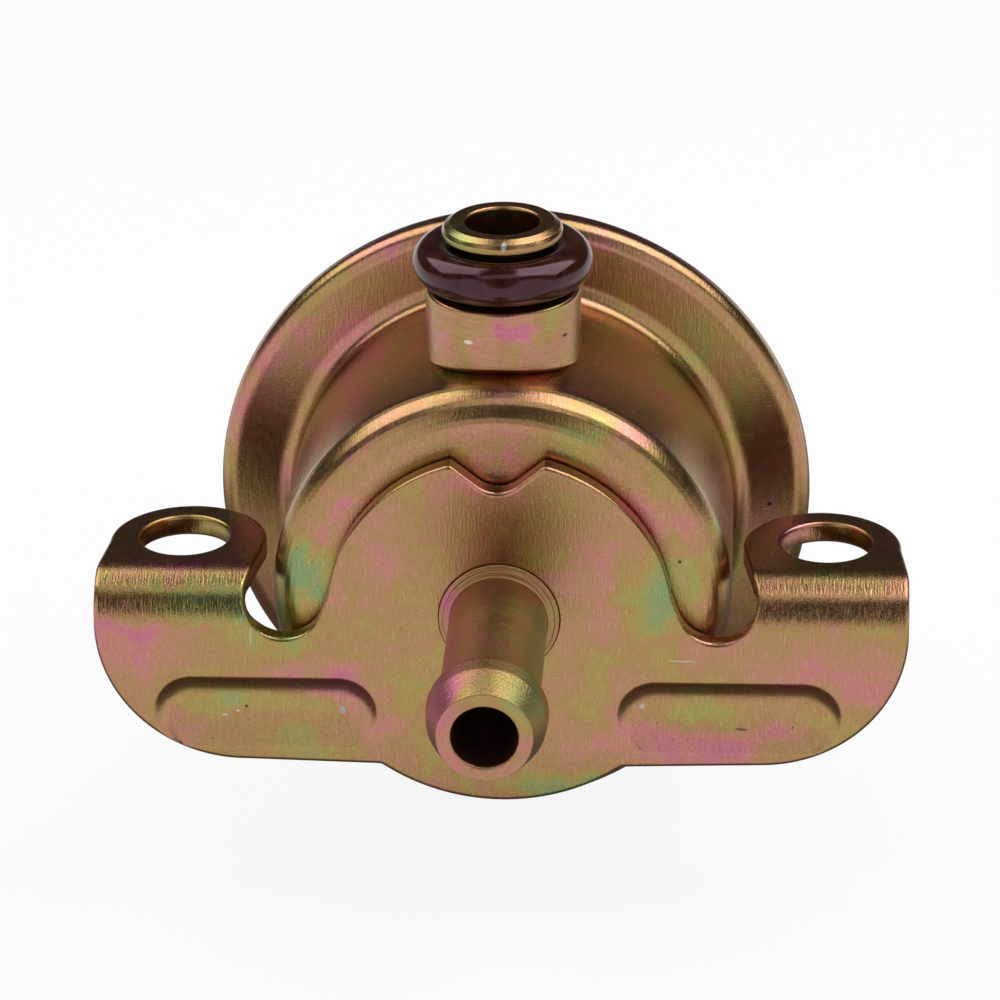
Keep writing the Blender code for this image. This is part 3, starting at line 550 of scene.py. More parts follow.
CUP_PATCHES = (
    Patch((-15.5, 2.1, 2.5), (3.5, 3.0, 3.5), 0.45),
    Patch((15.2, 2.1, 6.5), (3.0, 3.0, 3.5), -0.40),
    Patch((12.8, 2.1, 12.0), (3.5, 3.0, 3.0), 0.32),
    Patch((6.5, 2.1, 14.2), (3.5, 3.0, 2.5), 0.25),
    Patch((-21.2, 24.0, 8.4), (4.5, 3.0, 6.0), -0.28),
    Patch((-7.6, 24.0, 22.6), (6.0, 3.0, 3.0), -0.25),
    Patch((18.0, 24.0, 14.0), (5.0, 3.0, 6.0), 0.25),
    Patch((-14.0, 12.0, 12.0), (5.0, 8.0, 5.0), -0.20),
)
CUP_SCUFFS = (
    Scuff((21.6, 24.0, -0.7), (0.22, 1.0, 0.22), (0.015, 0.012, 0.012)),
    Scuff((14.5, 2.1, 4.2), (0.16, 1.0, 0.16), (0.03, 0.02, 0.02)),
)
BARB_PATCHES = (
    Patch((-4.2, -8.0, 1.0), (2.6, 12.0, 3.2), -0.42),
    Patch((4.2, -8.0, 1.0), (2.6, 12.0, 3.2), 0.36),
    Patch((3.4, -18.5, 2.5), (2.6, 3.0, 2.6), 0.30),
    Patch((-3.4, -18.5, 2.5), (2.6, 3.0, 2.6), -0.60),
)
PLUG_PATCHES = (
    Patch((0.6, 5.8, 22.4), (2.2, 2.0, 1.2), -0.55),
    Patch((-4.9, 8.1, 20.3), (2.6, 3.0, 2.6), -0.28),
    Patch((4.4, 7.5, 22.8), (2.4, 3.0, 2.0), 0.42),
)
PLUG_SCUFFS = (
    Scuff((-2.5, 6.3, 21.4), (0.40, 1.2, 0.16), (0.78, 0.74, 0.70)),
    Scuff((5.1, 8.4, 21.2), (0.20, 1.2, 0.14), (0.04, 0.025, 0.02)),
    Scuff((0.4, 8.0, 29.0), (0.30, 1.0, 0.35), (0.75, 0.74, 0.72)),
)


@dataclass(frozen=True)
class Rubber:
    """Smooth moulded rubber with a faint flow grain.

    Attributes:
        name: The material's name.
        colour: Its mean colour.
        gloss: Mean roughness.
        weave: Threads a millimetre of a fabric under the skin, or 0.
        sheen: Tint of its reflections.
    """

    name: str
    colour: Colour
    gloss: float = 0.2
    weave: float = 0.0
    sheen: Colour = (1.0, 1.0, 1.0)

    def material(self) -> Material:
        """Builds the node material."""
        material, net = new_material(self.name)
        place = net.position()
        lighter = tuple(min(1.0, c * 1.5 + 0.004) for c in self.colour)
        darker = tuple(c * 0.65 for c in self.colour)
        colour = net.mix(net.noise(place, 0.6, 3.0).smooth(0.3, 0.7), darker, lighter)
        dust = net.noise(place, 5.0, 1.0).smooth(0.78, 0.84)
        colour = net.mix(dust * 0.3, colour, DUST_TONE)
        rough = self.gloss + net.wander(place, 1.6, 3.0, 0.12) + dust * 0.2
        height, depth = net.noise(place, 9.0, 2.0), 0.006
        if self.weave > 0:
            height, depth = height * 0.3, 0.03
            x, _, z = net.split(place)
            for across in (x, z):
                height = height + (across * (self.weave * 2 * pi)).sine() * 0.3
        normal = net.bump(height, depth)
        net.surface({"Base Color": colour, "Roughness": rough, "Normal": normal, "IOR": 1.52,
                     "Specular Tint": (*self.sheen, 1.0)})
        return material


@dataclass(frozen=True)
class Steel:
    """Oiled bare steel with turning lines about the housing's axis.

    Attributes:
        name: The material's name.
        colour: Its mean colour.
        gloss: Mean roughness.
    """

    name: str
    colour: Colour = (0.55, 0.55, 0.54)
    gloss: float = 0.3

    def material(self) -> Material:
        """Builds the node material."""
        material, net = new_material(self.name)
        place = net.position()
        x, depth, height = net.split(place)
        radius = net.across(x, height)
        lines = net.noise(net.combine(radius * 8.0, depth * 8.0, x.angle_to(height) * 0.7), 1.0, 2.0)
        stain = net.noise(place, 0.4, 3.0).smooth(0.35, 0.75)
        colour = net.mix(stain * 0.7, self.colour, tuple(c * 0.7 for c in self.colour))
        rough = self.gloss + (lines - 0.5) * 0.15
        normal = net.bump(lines, 0.006)
        net.surface({"Base Color": colour, "Metallic": 1.0, "Roughness": rough, "Normal": normal})
        return material


# ---- Pieces ----


def declare(obj: Object, node: str) -> Object:
    """Fixes a piece to the housing in place of its CAD node and reports it."""
    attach(obj, "housing")
    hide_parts(node)
    log.info("%s: %d faces", obj.name, len(obj.data.polygons))
    return obj


class TurnedPiece:
    """A piece turned from a closed profile.

    Attributes:
        name: The object's name.
        node: The CAD node that it replaces.
        slot: Name of a material slot; not used.
        place: Gives the points for radius, angle and height grids.
        segments: Points round one turn.
        finish: Its finish.
    """

    name: str
    node: str
    slot: str = "yellow_zinc"
    place: Placer = staticmethod(about_housing)
    segments: int
    finish: Union[Chromate, Rubber]

    def profile(self) -> Array:
        """Closed (radius, height) profile."""
        raise NotImplementedError

    def shape(self) -> Object:
        """Turns the profile into an object."""
        surface = turned(self.profile(), self.segments, self.place)
        return surface.to_object(self.name, self.finish.material())

    def build(self) -> Object:
        """Makes the piece."""
        return declare(self.shape(), self.node)


@dataclass
class Bracket:
    """One stamped and folded sheet: notched disc, lobe, two dished wings, two ears with bolt holes."""

    sheet: float = 1.8
    disc_r: float = 13.9
    lobe_r: float = 16.6
    lobe_join_x: float = 9.8
    wing_half: float = 32.8
    wing_corner_r: float = 11.8
    wing_corner_z: float = -1.3
    ucut: tuple[float, float, float] = (17.45, 1.1, 3.2)
    ucut_enter: float = radians(25)
    ucut_leave: float = radians(200)
    disc_leave_z: float = 1.8
    horn_x: float = 3.75
    notch_slope: float = radians(42)
    notch_z: float = 11.05
    notch_r: float = 2.5
    edge_round: float = 0.32
    hole_edge_round: float = 0.08
    hole_spacing: float = 52.5
    hole_r: float = 3.65
    hole_y: float = 9.1
    hole_steps: int = 96
    ear_end_y: float = 14.95
    ear_end_r: float = 6.4
    ear_end_in: float = 0.35
    edge_taper: float = 0.8
    bend_r: float = 4.2
    barb_hole_r: float = 4.88
    dish_x: Pair = (-19.1, 18.5)
    dish_z: float = -8.8
    dish_half: float = 9.1
    dish_r: float = 3.2
    dish_depth: float = 0.95
    dish_wall: float = 2.1
    dish_crease: float = 0.14
    dish_fade: Pair = (19.4, 21.4)
    dish_rings: tuple[float, ...] = (-0.55, -0.35, -0.25, -0.15, -0.05, 0.05, 0.15, 0.25, 0.4, 0.65, 0.95,
                                     1.25, 1.55, 1.85, 2.1, 2.3)
    grid_off_rings: Pair = (0.75, 0.4)
    grid_step: Pair = (0.42, 0.24)
    grid_rows: tuple[int, int] = (-70, 120)
    grid_off_edge: float = 0.28
    edge_support: float = 0.1
    edge_steps: int = 4
    ear_turn: Pair = (radians(-4), radians(184))
    corner_cuts: Pair = (0.3, 0.35)
    corner_cut_most: float = 0.5
    corner_cosine: float = -0.9
    finish: Chromate = Chromate("zinc_bracket", film=0.46, fold=(-1.4, 2.75), patches=BRACKET_PATCHES,
                                scuffs=BRACKET_SCUFFS)

    def fold_length(self) -> float:
        """Length of the blank that becomes one fold, along the middle of the sheet."""
        return (self.bend_r - self.sheet / 2) * pi / 2

    def fold_start(self) -> float:
        """Height at which the fold starts."""
        return AXIS_BELOW_EARS - self.bend_r

    def blank_v(self, depth: float) -> float:
        """Height on the flat blank of a point this far behind the front face on the folded ear."""
        return self.fold_start() + self.fold_length() + depth - self.bend_r

    def outline(self) -> Array:
        """The blank's outline, anticlockwise, from arcs joined by straight lines."""
        join_z = -sqrt(self.lobe_r**2 - self.lobe_join_x**2)
        corner = (self.wing_half - self.wing_corner_r, self.wing_corner_z)
        top = self.blank_v(self.ear_end_y - self.ear_end_r)
        bend, flat = self.fold_start(), self.fold_start() + self.fold_length()
        disc_start = atan2(self.disc_leave_z, sqrt(self.disc_r**2 - self.disc_leave_z**2))
        horn = atan2(sqrt(self.disc_r**2 - self.horn_x**2), self.horn_x)
        ucut_x, ucut_z, ucut_r = self.ucut
        right = [
            arc((0, 0), self.lobe_r, -pi / 2, atan2(join_z, self.lobe_join_x)),
            arc(corner, self.wing_corner_r, -pi / 2, 0),
            [(self.wing_half, bend), (self.wing_half, bend + self.edge_taper * self.fold_length())],
            arc((self.hole_spacing / 2 - self.ear_end_in, top), self.ear_end_r, *self.ear_turn),
            arc((ucut_x, ucut_z), ucut_r, self.ucut_enter, -2 * pi + self.ucut_leave),
            arc((0, 0), self.disc_r, disc_start, horn),
            arc((0, self.notch_z + self.notch_r), self.notch_r, -pi / 2 + self.notch_slope, -pi / 2),
        ]
        half = np.vstack([np.asarray(part, float) for part in right])
        left = (half * (-1, 1))[::-1][1:-1]
        return evened(self.soften_corners(np.vstack([half, left])), ARC_STEP)

    def soften_corners(self, loop: Array) -> Array:
        """Cuts each sharp corner of a loop twice, which rounds it a little."""
        for share in self.corner_cuts:
            before, after = np.roll(loop, 1, 0) - loop, np.roll(loop, -1, 0) - loop
            near = np.linalg.norm(before, axis=1), np.linalg.norm(after, axis=1)
            bend = (before * after).sum(1) / np.maximum(near[0] * near[1], TINY)
            sharp = (bend > self.corner_cosine)[:, None]
            cut = np.minimum(np.minimum(*near) * share, self.corner_cut_most)
            first, second = (loop + to * (cut / np.maximum(far, TINY))[:, None]
                             for to, far in zip((before, after), near))
            pair = np.stack([np.where(sharp, first, loop), np.where(sharp, second, np.nan)], 1)
            loop = pair[~np.isnan(pair[:, :, 0])]
        return loop

    def holes(self) -> list[Array]:
        """The bolt holes and the barb's hole, clockwise."""
        angle = -np.linspace(0, 2 * pi, self.hole_steps, endpoint=False)[:, None]
        circle = np.hstack([np.cos(angle), np.sin(angle)])
        ear = self.blank_v(self.hole_y)
        found = [circle * self.hole_r + (side * self.hole_spacing / 2, ear) for side in (-1, 1)]
        return found + [circle * self.barb_hole_r]

    def dish_distance(self, flat: Array) -> Array:
        """How far inside the nearer dish's outline each blank point lies, below 0 outside it."""
        inside = np.full(len(flat), -np.inf)
        for middle in self.dish_x:
            along = np.maximum(np.abs(flat[:, 0] - middle) - (self.dish_half - self.dish_r), 0)
            inside = np.maximum(inside, self.dish_r - np.hypot(along, flat[:, 1] - self.dish_z))
        return inside

    def dish(self, flat: Array) -> Array:
        """How far the dishes sink the front face.

        A quarter of a sine wave runs from the outline to the floor, its start eased over the crease so
        that the outline is crisp but not sharp. The floor itself is a ramp that rises from the foot of
        the upper wall to the lower outline. Where the two meet, the shallower one wins: the result is
        the fourth root of the inverse sum of their inverse fourth powers.
        """
        inside = self.dish_distance(flat)
        ease = self.dish_crease
        eased = np.where(inside < ease, np.maximum(inside + ease, 0)**2 / (4 * ease), inside)
        wall = np.sin(np.clip(eased / self.dish_wall, 0, 1) * pi / 2)
        above_lower = flat[:, 1] - (self.dish_z - self.dish_r)
        ramp = np.clip(above_lower / (2 * self.dish_r - self.dish_wall), 0, 1)
        least = 1e-4
        shallower = (np.maximum(wall, least)**-4 + np.maximum(ramp, least)**-4)**-0.25
        return np.where(inside > -ease, self.dish_depth * shallower, 0.0)

    def behind(self, flat: Array) -> Array:
        """Share of the dish that shows at the back: none where the housing lies against the plate."""
        near, far = self.dish_fade
        share = np.clip((np.hypot(flat[:, 0], flat[:, 1]) - near) / (far - near), 0, 1)
        return share**2 * (3 - 2 * share)

    def fold(self, flat: Array, under: Array) -> Array:
        """Points of the folded sheet.

        Below the fold a point keeps its height. In the fold it turns about the bend's axis by the
        blank's length over the mean radius, and beyond it the sheet runs straight back.

        Args:
            flat: N by 2 blank positions.
            under: Distance of each point below the outer face.
        """
        x, v = flat.T
        start = self.fold_start()
        turn = np.clip((v - start) / (self.bend_r - self.sheet / 2), 0, pi / 2)
        past = np.maximum(v - start - self.fold_length(), 0)
        ear = np.abs(x) >= self.ucut[0]
        arm = self.bend_r - under
        depth = np.where(ear, self.bend_r - arm * np.cos(turn) + past, under)
        height = np.where(ear, np.minimum(v, start) + arm * np.sin(turn), v)
        return np.stack([x, depth, height], axis=1)

    def inner_points(self, borders: list[Array]) -> Array:
        """Points inside the blank: a regular grid, with rings that follow the dishes."""
        step_x, step_v = self.grid_step
        step_v = self.fold_length() / round(self.fold_length() / step_v)
        xs = np.arange(-self.wing_half, self.wing_half, step_x)
        rows = np.arange(*self.grid_rows) * step_v + self.fold_start()
        grid = np.stack(np.meshgrid(xs, rows, indexing="ij"), -1).reshape(-1, 2)
        grid[:, 0] += np.where(np.round((grid[:, 1] - rows[0]) / step_v) % 2 > 0, step_x / 2, 0)
        away = self.dish_distance(grid)
        out, deep = self.grid_off_rings
        grid = grid[(away < -out) | (away > self.dish_wall + deep)]
        rings = [oblong((middle, self.dish_z), self.dish_half - inside, self.dish_r - inside)
                 for middle in self.dish_x for inside in self.dish_rings]
        found = np.vstack([grid, *rings])
        edge = np.vstack([dense(loop, BORDER_STEP) for loop in borders])
        keep = np.ones(len(found), bool)
        for first in range(0, len(edge), EDGES_AT_ONCE):
            apart = np.hypot(*(found[:, None] - edge[None, first:first + EDGES_AT_ONCE]).transpose(2, 0, 1))
            keep &= apart.min(1) > self.grid_off_edge
        found = found[keep]
        return found[self.on_sheet(found, borders)]

    def triangulated(self, borders: list[Array], support: list[Array]) -> tuple[Array, Array, Array]:
        """Divides the blank into triangles.

        Args:
            borders: The outline and the holes, which the triangles keep to.
            support: Loops of points that lie just inside them.

        Returns:
            Blank points, triangles, and the number of each border point among the blank points.
        """
        starts = np.cumsum([0] + [len(loop) for loop in borders])
        given = np.vstack([*borders, *support, self.inner_points(borders)])
        edges = [(int(start + i), int(start + (i + 1) % len(loop)))
                 for start, loop in zip(starts, borders) for i in range(len(loop))]
        places = [Vector(place) for place in given.tolist()]
        vertices, _, faces, origins, *_ = delaunay_2d_cdt(places, edges, [], 0, MERGE_WITHIN)
        sheet = np.array([tuple(v) for v in vertices])
        triangles = np.array([f for f in faces if len(f) == 3])
        number = np.zeros(len(given), int)
        for index, sources in enumerate(origins):
            number[sources] = index
        return sheet, triangles[self.on_sheet(sheet[triangles].mean(1), borders)], number

    @staticmethod
    def on_sheet(places: Array, borders: list[Array]) -> Array:
        """Whether each place lies within the outline and outside the holes."""
        outline, *holes = borders
        keep = within(places, outline)
        for hole in holes:
            keep &= ~within(places, hole)
        return keep

    def surface(self) -> Surface:
        """Triangulates the blank, then folds both faces and joins them by a rounded edge."""
        full = [self.outline(), *self.holes()]
        rounds = [self.edge_round] * (len(full) - 1) + [self.hole_edge_round]
        flat, support = ([offset(loop, size + more) for loop, size in zip(full, rounds)]
                         for more in (0.0, self.edge_support))
        sheet, triangles, number = self.triangulated(flat, support)
        count = len(sheet)
        depth = self.dish(sheet)
        points = [self.fold(sheet, depth), self.fold(sheet, self.sheet + depth * self.behind(sheet))]
        faces = [triangles, triangles[:, ::-1] + count]
        base, start = 2 * count, 0
        for inner, outer, size in zip(flat, full, rounds):
            loop = number[start:start + len(inner)]
            start += len(inner)
            rows = [loop]
            for share, under in self.edge_rows(size):
                rows.append(base + np.arange(len(inner)))
                points.append(self.fold(outer + (inner - outer) * share, np.full(len(inner), under)))
                base += len(inner)
            rows.append(loop + count)
            for upper, lower in zip(rows, rows[1:]):
                faces.append(np.stack([upper, lower, np.roll(lower, -1), np.roll(upper, -1)], 1))
        return Surface(np.vstack(points), faces)

    def edge_rows(self, size: float) -> list[Pair]:
        """(Share of the inset, distance below the front) of the rows down an edge rounded to this size."""
        angles = np.linspace(0, pi / 2, self.edge_steps + 1)[1:]
        front = [(1 - sin(a), size * (1 - cos(a))) for a in angles]
        back = [(share, self.sheet - under) for share, under in reversed(front)]
        return front + back

    def build(self) -> Object:
        """Makes the piece."""
        obj = self.surface().to_object("bracket_sheet", self.finish.material())
        return declare(obj, "mounting_bracket")


def arc(centre: Pair, radius: float, start: float, end: float) -> Array:
    """Points along an arc, both ends included, about one step apart."""
    count = max(3, int(abs(end - start) * radius / ARC_STEP) + 1)
    angle = np.linspace(start, end, count)
    return np.stack([centre[0] + radius * np.cos(angle), centre[1] + radius * np.sin(angle)], 1)


def oblong(middle: Pair, half: float, radius: float) -> Array:
    """Points of a straight-sided slot shape, anticlockwise and evenly spaced."""
    x, z = middle
    reach = half - radius
    right = arc((x + reach, z), radius, -pi / 2, pi / 2)
    left = arc((x - reach, z), radius, pi / 2, 3 * pi / 2)
    return dense(np.vstack([right, left]), ARC_STEP)


def dense(loop: Array, step: float) -> Array:
    """The same loop with its long steps divided, so that no two points lie over a step apart."""
    ahead = np.roll(loop, -1, axis=0)
    count = np.maximum(np.ceil(np.linalg.norm(ahead - loop, axis=1) / step).astype(int), 1)
    which = np.repeat(np.arange(len(loop)), count)
    share = (np.arange(len(which)) - np.repeat(np.cumsum(count) - count, count)) / count[which]
    return loop[which] + (ahead[which] - loop[which]) * share[:, None]


def evened(loop: Array, step: float) -> Array:
    """A loop walked again at even steps along its length."""
    closed = np.vstack([loop, loop[:1]])
    along = np.concatenate([[0], np.cumsum(np.linalg.norm(np.diff(closed, axis=0), axis=1))])
    at = np.linspace(0, along[-1], int(along[-1] / step), endpoint=False)
    return np.stack([np.interp(at, along, closed[:, k]) for k in (0, 1)], 1)


def offset(loop: Array, distance: float) -> Array:
    """A loop moved to its left by a distance, each point along the mean of its two edges' normals."""
    before = loop - np.roll(loop, 1, axis=0)
    after = np.roll(loop, -1, axis=0) - loop
    before /= np.linalg.norm(before, axis=1, keepdims=True)
    after /= np.linalg.norm(after, axis=1, keepdims=True)
    along = before + after
    along /= np.linalg.norm(along, axis=1, keepdims=True)
    normal = np.stack([-along[:, 1], along[:, 0]], 1)
    lean = np.maximum((along * before).sum(1), MOST_LEAN)
    return loop + normal * distance / lean[:, None]


def within(points: Array, loop: Array) -> Array:
    """Whether each point lies inside a loop, by counting the edges that a ray to its right crosses."""
    inside = np.zeros(len(points), bool)
    x1, y1 = loop.T
    x2, y2 = np.roll(loop, 1, axis=0).T
    for first in range(0, len(points), POINTS_AT_ONCE):
        x, y = points[first:first + POINTS_AT_ONCE].T[:, :, None]
        span = np.where(y1 == y2, 1.0, y2 - y1)
        crossed = ((y1 > y) != (y2 > y)) & (x < (x2 - x1) * (y - y1) / span + x1)
        inside[first:first + POINTS_AT_ONCE] = crossed.sum(1) % 2 == 1
    return inside


@dataclass
class Rim:
    """The depths of the crimped rim, from the fuel side to the spring side."""

    radius: float = 25.0
    flange_y: float = 24.0
    cup_sheet: float = 0.9
    clamp_gap: float = 0.2
    rubber: float = 0.5
    cover_sheet: float = 0.7
    hem: float = 0.7
    hem_reach: float = 3.3
    edge: float = 1.4

    def cover_front(self) -> float:
        """Depth of the cover's flange."""
        return self.flange_y + self.cup_sheet + self.clamp_gap + self.rubber + self.clamp_gap

    def back(self) -> float:
        """Depth of the hem's rear face."""
        return self.cover_front() + self.cover_sheet + self.clamp_gap + self.hem


@dataclass
class FuelHousing(TurnedPiece):
    """Drawn cup: flat front with the return hole, wall with the inlet hole, hem over the rim."""

    name, node = "fuel_cup", "fuel_housing"
    rim: Rim
    cup_r: float = 18.6
    front_y: float = 2.1
    nose_r: float = 3.0
    fillet: float = 1.5
    return_hole_r: float = 4.5
    inlet_hole_r: float = 4.7
    hole_from_wall: Pair = (-4.0, 3.0)
    hole_steps: int = 64
    segments: int = 200
    finish: Chromate = Chromate("zinc_fuel_housing", film=0.48, bands=0.3, patches=CUP_PATCHES,
                                scuffs=CUP_SCUFFS)

    def profile(self) -> Array:
        """Closed (radius, depth) profile of the cup."""
        rim, sheet, inner = self.rim, self.rim.cup_sheet, self.cup_r - self.rim.cup_sheet
        hem_in = rim.radius - rim.hem_reach
        return rounded([
            (self.return_hole_r, self.front_y),
            (self.cup_r, self.front_y, self.nose_r),
            (self.cup_r, rim.flange_y, self.fillet),
            (rim.radius, rim.flange_y, rim.edge),
            (rim.radius, rim.back(), rim.edge),
            (hem_in, rim.back(), 0.2),
            (hem_in, rim.back() - rim.hem),
            (rim.radius - sheet, rim.back() - rim.hem),
            (rim.radius - sheet, rim.flange_y + sheet),
            (inner, rim.flange_y + sheet, self.fillet + sheet),
            (inner, self.front_y + sheet, self.nose_r - sheet),
            (self.return_hole_r, self.front_y + sheet),
        ], steps=9)

    def shape(self) -> Object:
        """Turns the cup and cuts the inlet hole into its wall."""
        obj = super().shape()
        count, ends = self.hole_steps, self.cup_r + np.array(self.hole_from_wall)
        turn, height = np.meshgrid(np.linspace(0, 2 * pi, count, endpoint=False), ends, indexing="ij")
        points = about_port(np.full(turn.shape, self.inlet_hole_r), turn, height).reshape(-1, 3)
        middles = [(0, PORT_Y, end) for end in ends]
        low = 2 * np.arange(count)
        after = np.roll(low, -1)
        sides = np.stack([low, after, after + 1, low + 1], 1)
        bottom = np.stack([np.full(count, 2 * count), after, low], 1)
        top = np.stack([np.full(count, 2 * count + 1), low + 1, after + 1], 1)
        cutter = Surface(np.vstack([points, middles]), [sides, bottom, top])
        cut_out(obj, cutter.to_object("inlet_cut", obj.data.materials[0]))
        return obj


def cut_out(obj: Object, cutter: Object) -> None:
    """Takes the cutter's volume out of an object's mesh and removes the cutter."""
    modifier = obj.modifiers.new("cut", "BOOLEAN")
    modifier.operation = "DIFFERENCE"
    modifier.solver = "EXACT"
    modifier.object = cutter
    graph = bpy.context.evaluated_depsgraph_get()
    mesh = bpy.data.meshes.new_from_object(obj.evaluated_get(graph))
    obj.modifiers.clear()
    obj.data = mesh
    shade(mesh)
    bpy.data.objects.remove(cutter, do_unlink=True)


@dataclass
class SpringHousing(TurnedPiece):
    """Stepped cover: flange in the crimp, wide shoulder over the roll, narrow spring chamber."""

    name, node = "spring_cover", "spring_housing"
    rim: Rim
    shoulder_r: float = 20.7
    shoulder_y: float = 30.6
    shoulder_nose: float = 1.5
    chamber_r: float = 14.9
    end_y: float = 45.4
    end_nose: float = 2.2
    hole_r: float = 2.4
    segments: int = 160
    finish: Chromate = Chromate("zinc_spring_housing", bands=0.3)

    def profile(self) -> Array:
        """Closed (radius, depth) profile of the cover."""
        front, thick = self.rim.cover_front(), self.rim.cover_sheet
        clamp_r = self.rim.radius - self.rim.cup_sheet - GAP
        return rounded([
            (clamp_r, front),
            (clamp_r, front + thick),
            (self.shoulder_r, front + thick, 0.3),
            (self.shoulder_r, self.shoulder_y, self.shoulder_nose),
            (self.chamber_r, self.shoulder_y, 0.8),
            (self.chamber_r, self.end_y, self.end_nose),
            (self.hole_r, self.end_y),
            (self.hole_r, self.end_y - thick),
            (self.chamber_r - thick, self.end_y - thick, self.end_nose - thick),
            (self.chamber_r - thick, self.shoulder_y - thick, 0.8),
            (self.shoulder_r - thick, self.shoulder_y - thick, self.shoulder_nose - thick),
            (self.shoulder_r - thick, front),
        ], steps=8)


@dataclass
class VacuumNipple(TurnedPiece):
    """Short steel tube brazed into the cover's end, with a flange and an end bead for the hose."""

    name, node = "vacuum_tube", "vacuum_nipple"
    cover_end_y: float = 45.4
    cover_sheet: float = 0.7
    end_y: float = 58.5
    bead_y: float = 56.2
    bead: float = 1.2
    tube_r: float = 2.1
    bore_r: float = 1.25
    bead_r: float = 2.55
    flange_r: float = 3.6
    flange: float = 0.8
    segments: int = 80
    finish: Chromate = Chromate("zinc_nipple", marks=Marks.TURNED, film=0.55)

    def profile(self) -> Array:
        """Closed (radius, depth) profile of the tube."""
        seat = self.cover_end_y + GAP
        root = self.cover_end_y - self.cover_sheet
        return rounded([
            (self.bore_r, root),
            (self.tube_r, root),
            (self.tube_r, seat),
            (self.flange_r, seat),
            (self.flange_r, seat + self.flange, 0.3),
            (self.tube_r, seat + self.flange, 0.4),
            (self.tube_r, self.bead_y - self.bead, 0.3),
            (self.bead_r, self.bead_y - self.bead / 2, 0.4),
            (self.bead_r, self.bead_y + self.bead / 2, 0.4),
            (self.tube_r, self.end_y, 0.2),
            (self.bore_r, self.end_y, 0.15),
        ])


@dataclass
class ReturnBarb(TurnedPiece):
    """Turned barb: bead, stem, stepped root collar through the plate, shank and slim inner tail."""

    name, node = "return_barb", "return_tube"
    end_y: float = -20.5
    end_r: float = 3.72
    bead_y: float = -17.0
    bead_half: float = 0.9
    bead_r: float = 4.8
    bead_front_r: float = 4.65
    neck_y: float = -15.2
    stem_r: float = 3.95
    collar_r: float = 4.85
    collar_step_r: float = 4.5
    collar_proud: float = 0.5
    ledge_proud: float = 0.2
    collar_back: float = 1.85
    bore_r: float = 2.58
    shank_r: float = 4.2
    tail_r: float = 3.5
    tail_y: float = 5.0
    tail_end_y: float = 11.0
    segments: int = 144
    finish: Chromate = Chromate("zinc_barb", marks=Marks.TURNED, film=0.46, gloss=0.36, pits=0.045,
                                patches=BARB_PATCHES)

    def profile(self) -> Array:
        """Closed (radius, depth) profile of the barb."""
        return rounded([
            (self.bore_r, self.end_y, 0.25),
            (self.end_r, self.end_y, 0.15),
            (self.bead_front_r, self.bead_y - self.bead_half, 1.2),
            (self.bead_r, self.bead_y + self.bead_half, 0.9),
            (self.stem_r, self.neck_y, 0.3),
            (self.stem_r, -self.collar_proud, 0.15),
            (self.collar_step_r, -self.collar_proud, 0.12),
            (self.collar_step_r, -self.ledge_proud),
            (self.collar_r, -self.ledge_proud),
            (self.collar_r, self.collar_back),
            (self.shank_r, self.collar_back),
            (self.shank_r, self.tail_y),
            (self.tail_r, self.tail_y),
            (self.tail_r, self.tail_end_y, 0.3),
            (self.bore_r, self.tail_end_y),
        ], steps=7)


@dataclass
class InletPlug(TurnedPiece):
    """Turned plug: pilot in the housing's wall, saddle-ended collar, ring groove, rounded tip."""

    name, node = "inlet_plug", "inlet_fitting"
    wall_r: float = 18.6
    bore_r: float = 3.0
    pilot_r: float = 4.4
    pilot_end_z: float = 16.4
    collar_r: float = 6.25
    collar_top_z: float = 24.0
    chamfer: float = 0.55
    groove_r: float = 3.5
    tip_r: float = 4.85
    shoulder_r: float = 4.65
    flat_r: float = 4.15
    land_z: float = 28.35
    tip_z: float = 29.5
    tip_round: float = 0.65
    from_wall: float = 1.0
    wall_gap: float = 0.03
    segments: int = 144
    finish: Chromate = Chromate("zinc_plug", marks=Marks.PORT, film=0.44, patches=PLUG_PATCHES,
                                scuffs=PLUG_SCUFFS)

    def place(self, radius: Array, angle: Array, height: Array) -> Array:
        """Points about the port's axis; heights near 0 are counted from the housing's round wall.

        The wall's height above its axis at a distance across is the root of the squared radius
        less the squared distance.
        """
        saddle = np.sqrt((self.wall_r + self.wall_gap)**2 - (radius * np.sin(angle))**2)
        return about_port(radius, angle, np.where(height < self.from_wall, height + saddle, height))

    def profile(self) -> Array:
        """Closed (radius, height) profile of the plug."""
        return rounded([
            (self.pilot_r, 0, 0.05),
            (self.collar_r - self.chamfer, 0, 0.05),
            (self.collar_r, self.chamfer, 0.1),
            (self.collar_r, self.collar_top_z, 0.35),
            (self.groove_r, self.collar_top_z, 0.25),
            (self.groove_r, self.land_z, 0.25),
            (self.tip_r, self.land_z, 0.1),
            (self.tip_r, self.tip_z - self.tip_round, 0.1),
            (self.shoulder_r, self.tip_z - self.tip_round / 2, 0.15),
            (self.flat_r, self.tip_z, 0.2),
            (self.bore_r, self.tip_z, 0.25),
            (self.bore_r, self.pilot_end_z),
            (self.pilot_r, self.pilot_end_z),
        ])


@dataclass
class PlugRing(TurnedPiece):
    """Rubber ring seated in the plug's groove: a circle turned about the port's axis."""

    name, node, slot = "plug_ring", "inlet_o_ring", "ring_rubber"
    place = staticmethod(about_port)
    section: float = 3.5
    outer_r: float = 7.25
    middle_z: float = 26.15
    around: int = 40
    segments: int = 160
    finish: Rubber = Rubber("rubber_ring", (0.030, 0.007, 0.004), 0.08, sheen=(1.0, 0.62, 0.76))

    def profile(self) -> Array:
        """The circle."""
        angle = np.linspace(0, 2 * pi, self.around, endpoint=False)
        half = self.section / 2
        middle = (self.outer_r - half, self.middle_z)
        return middle + half * np.stack([np.cos(angle), np.sin(angle)], 1)


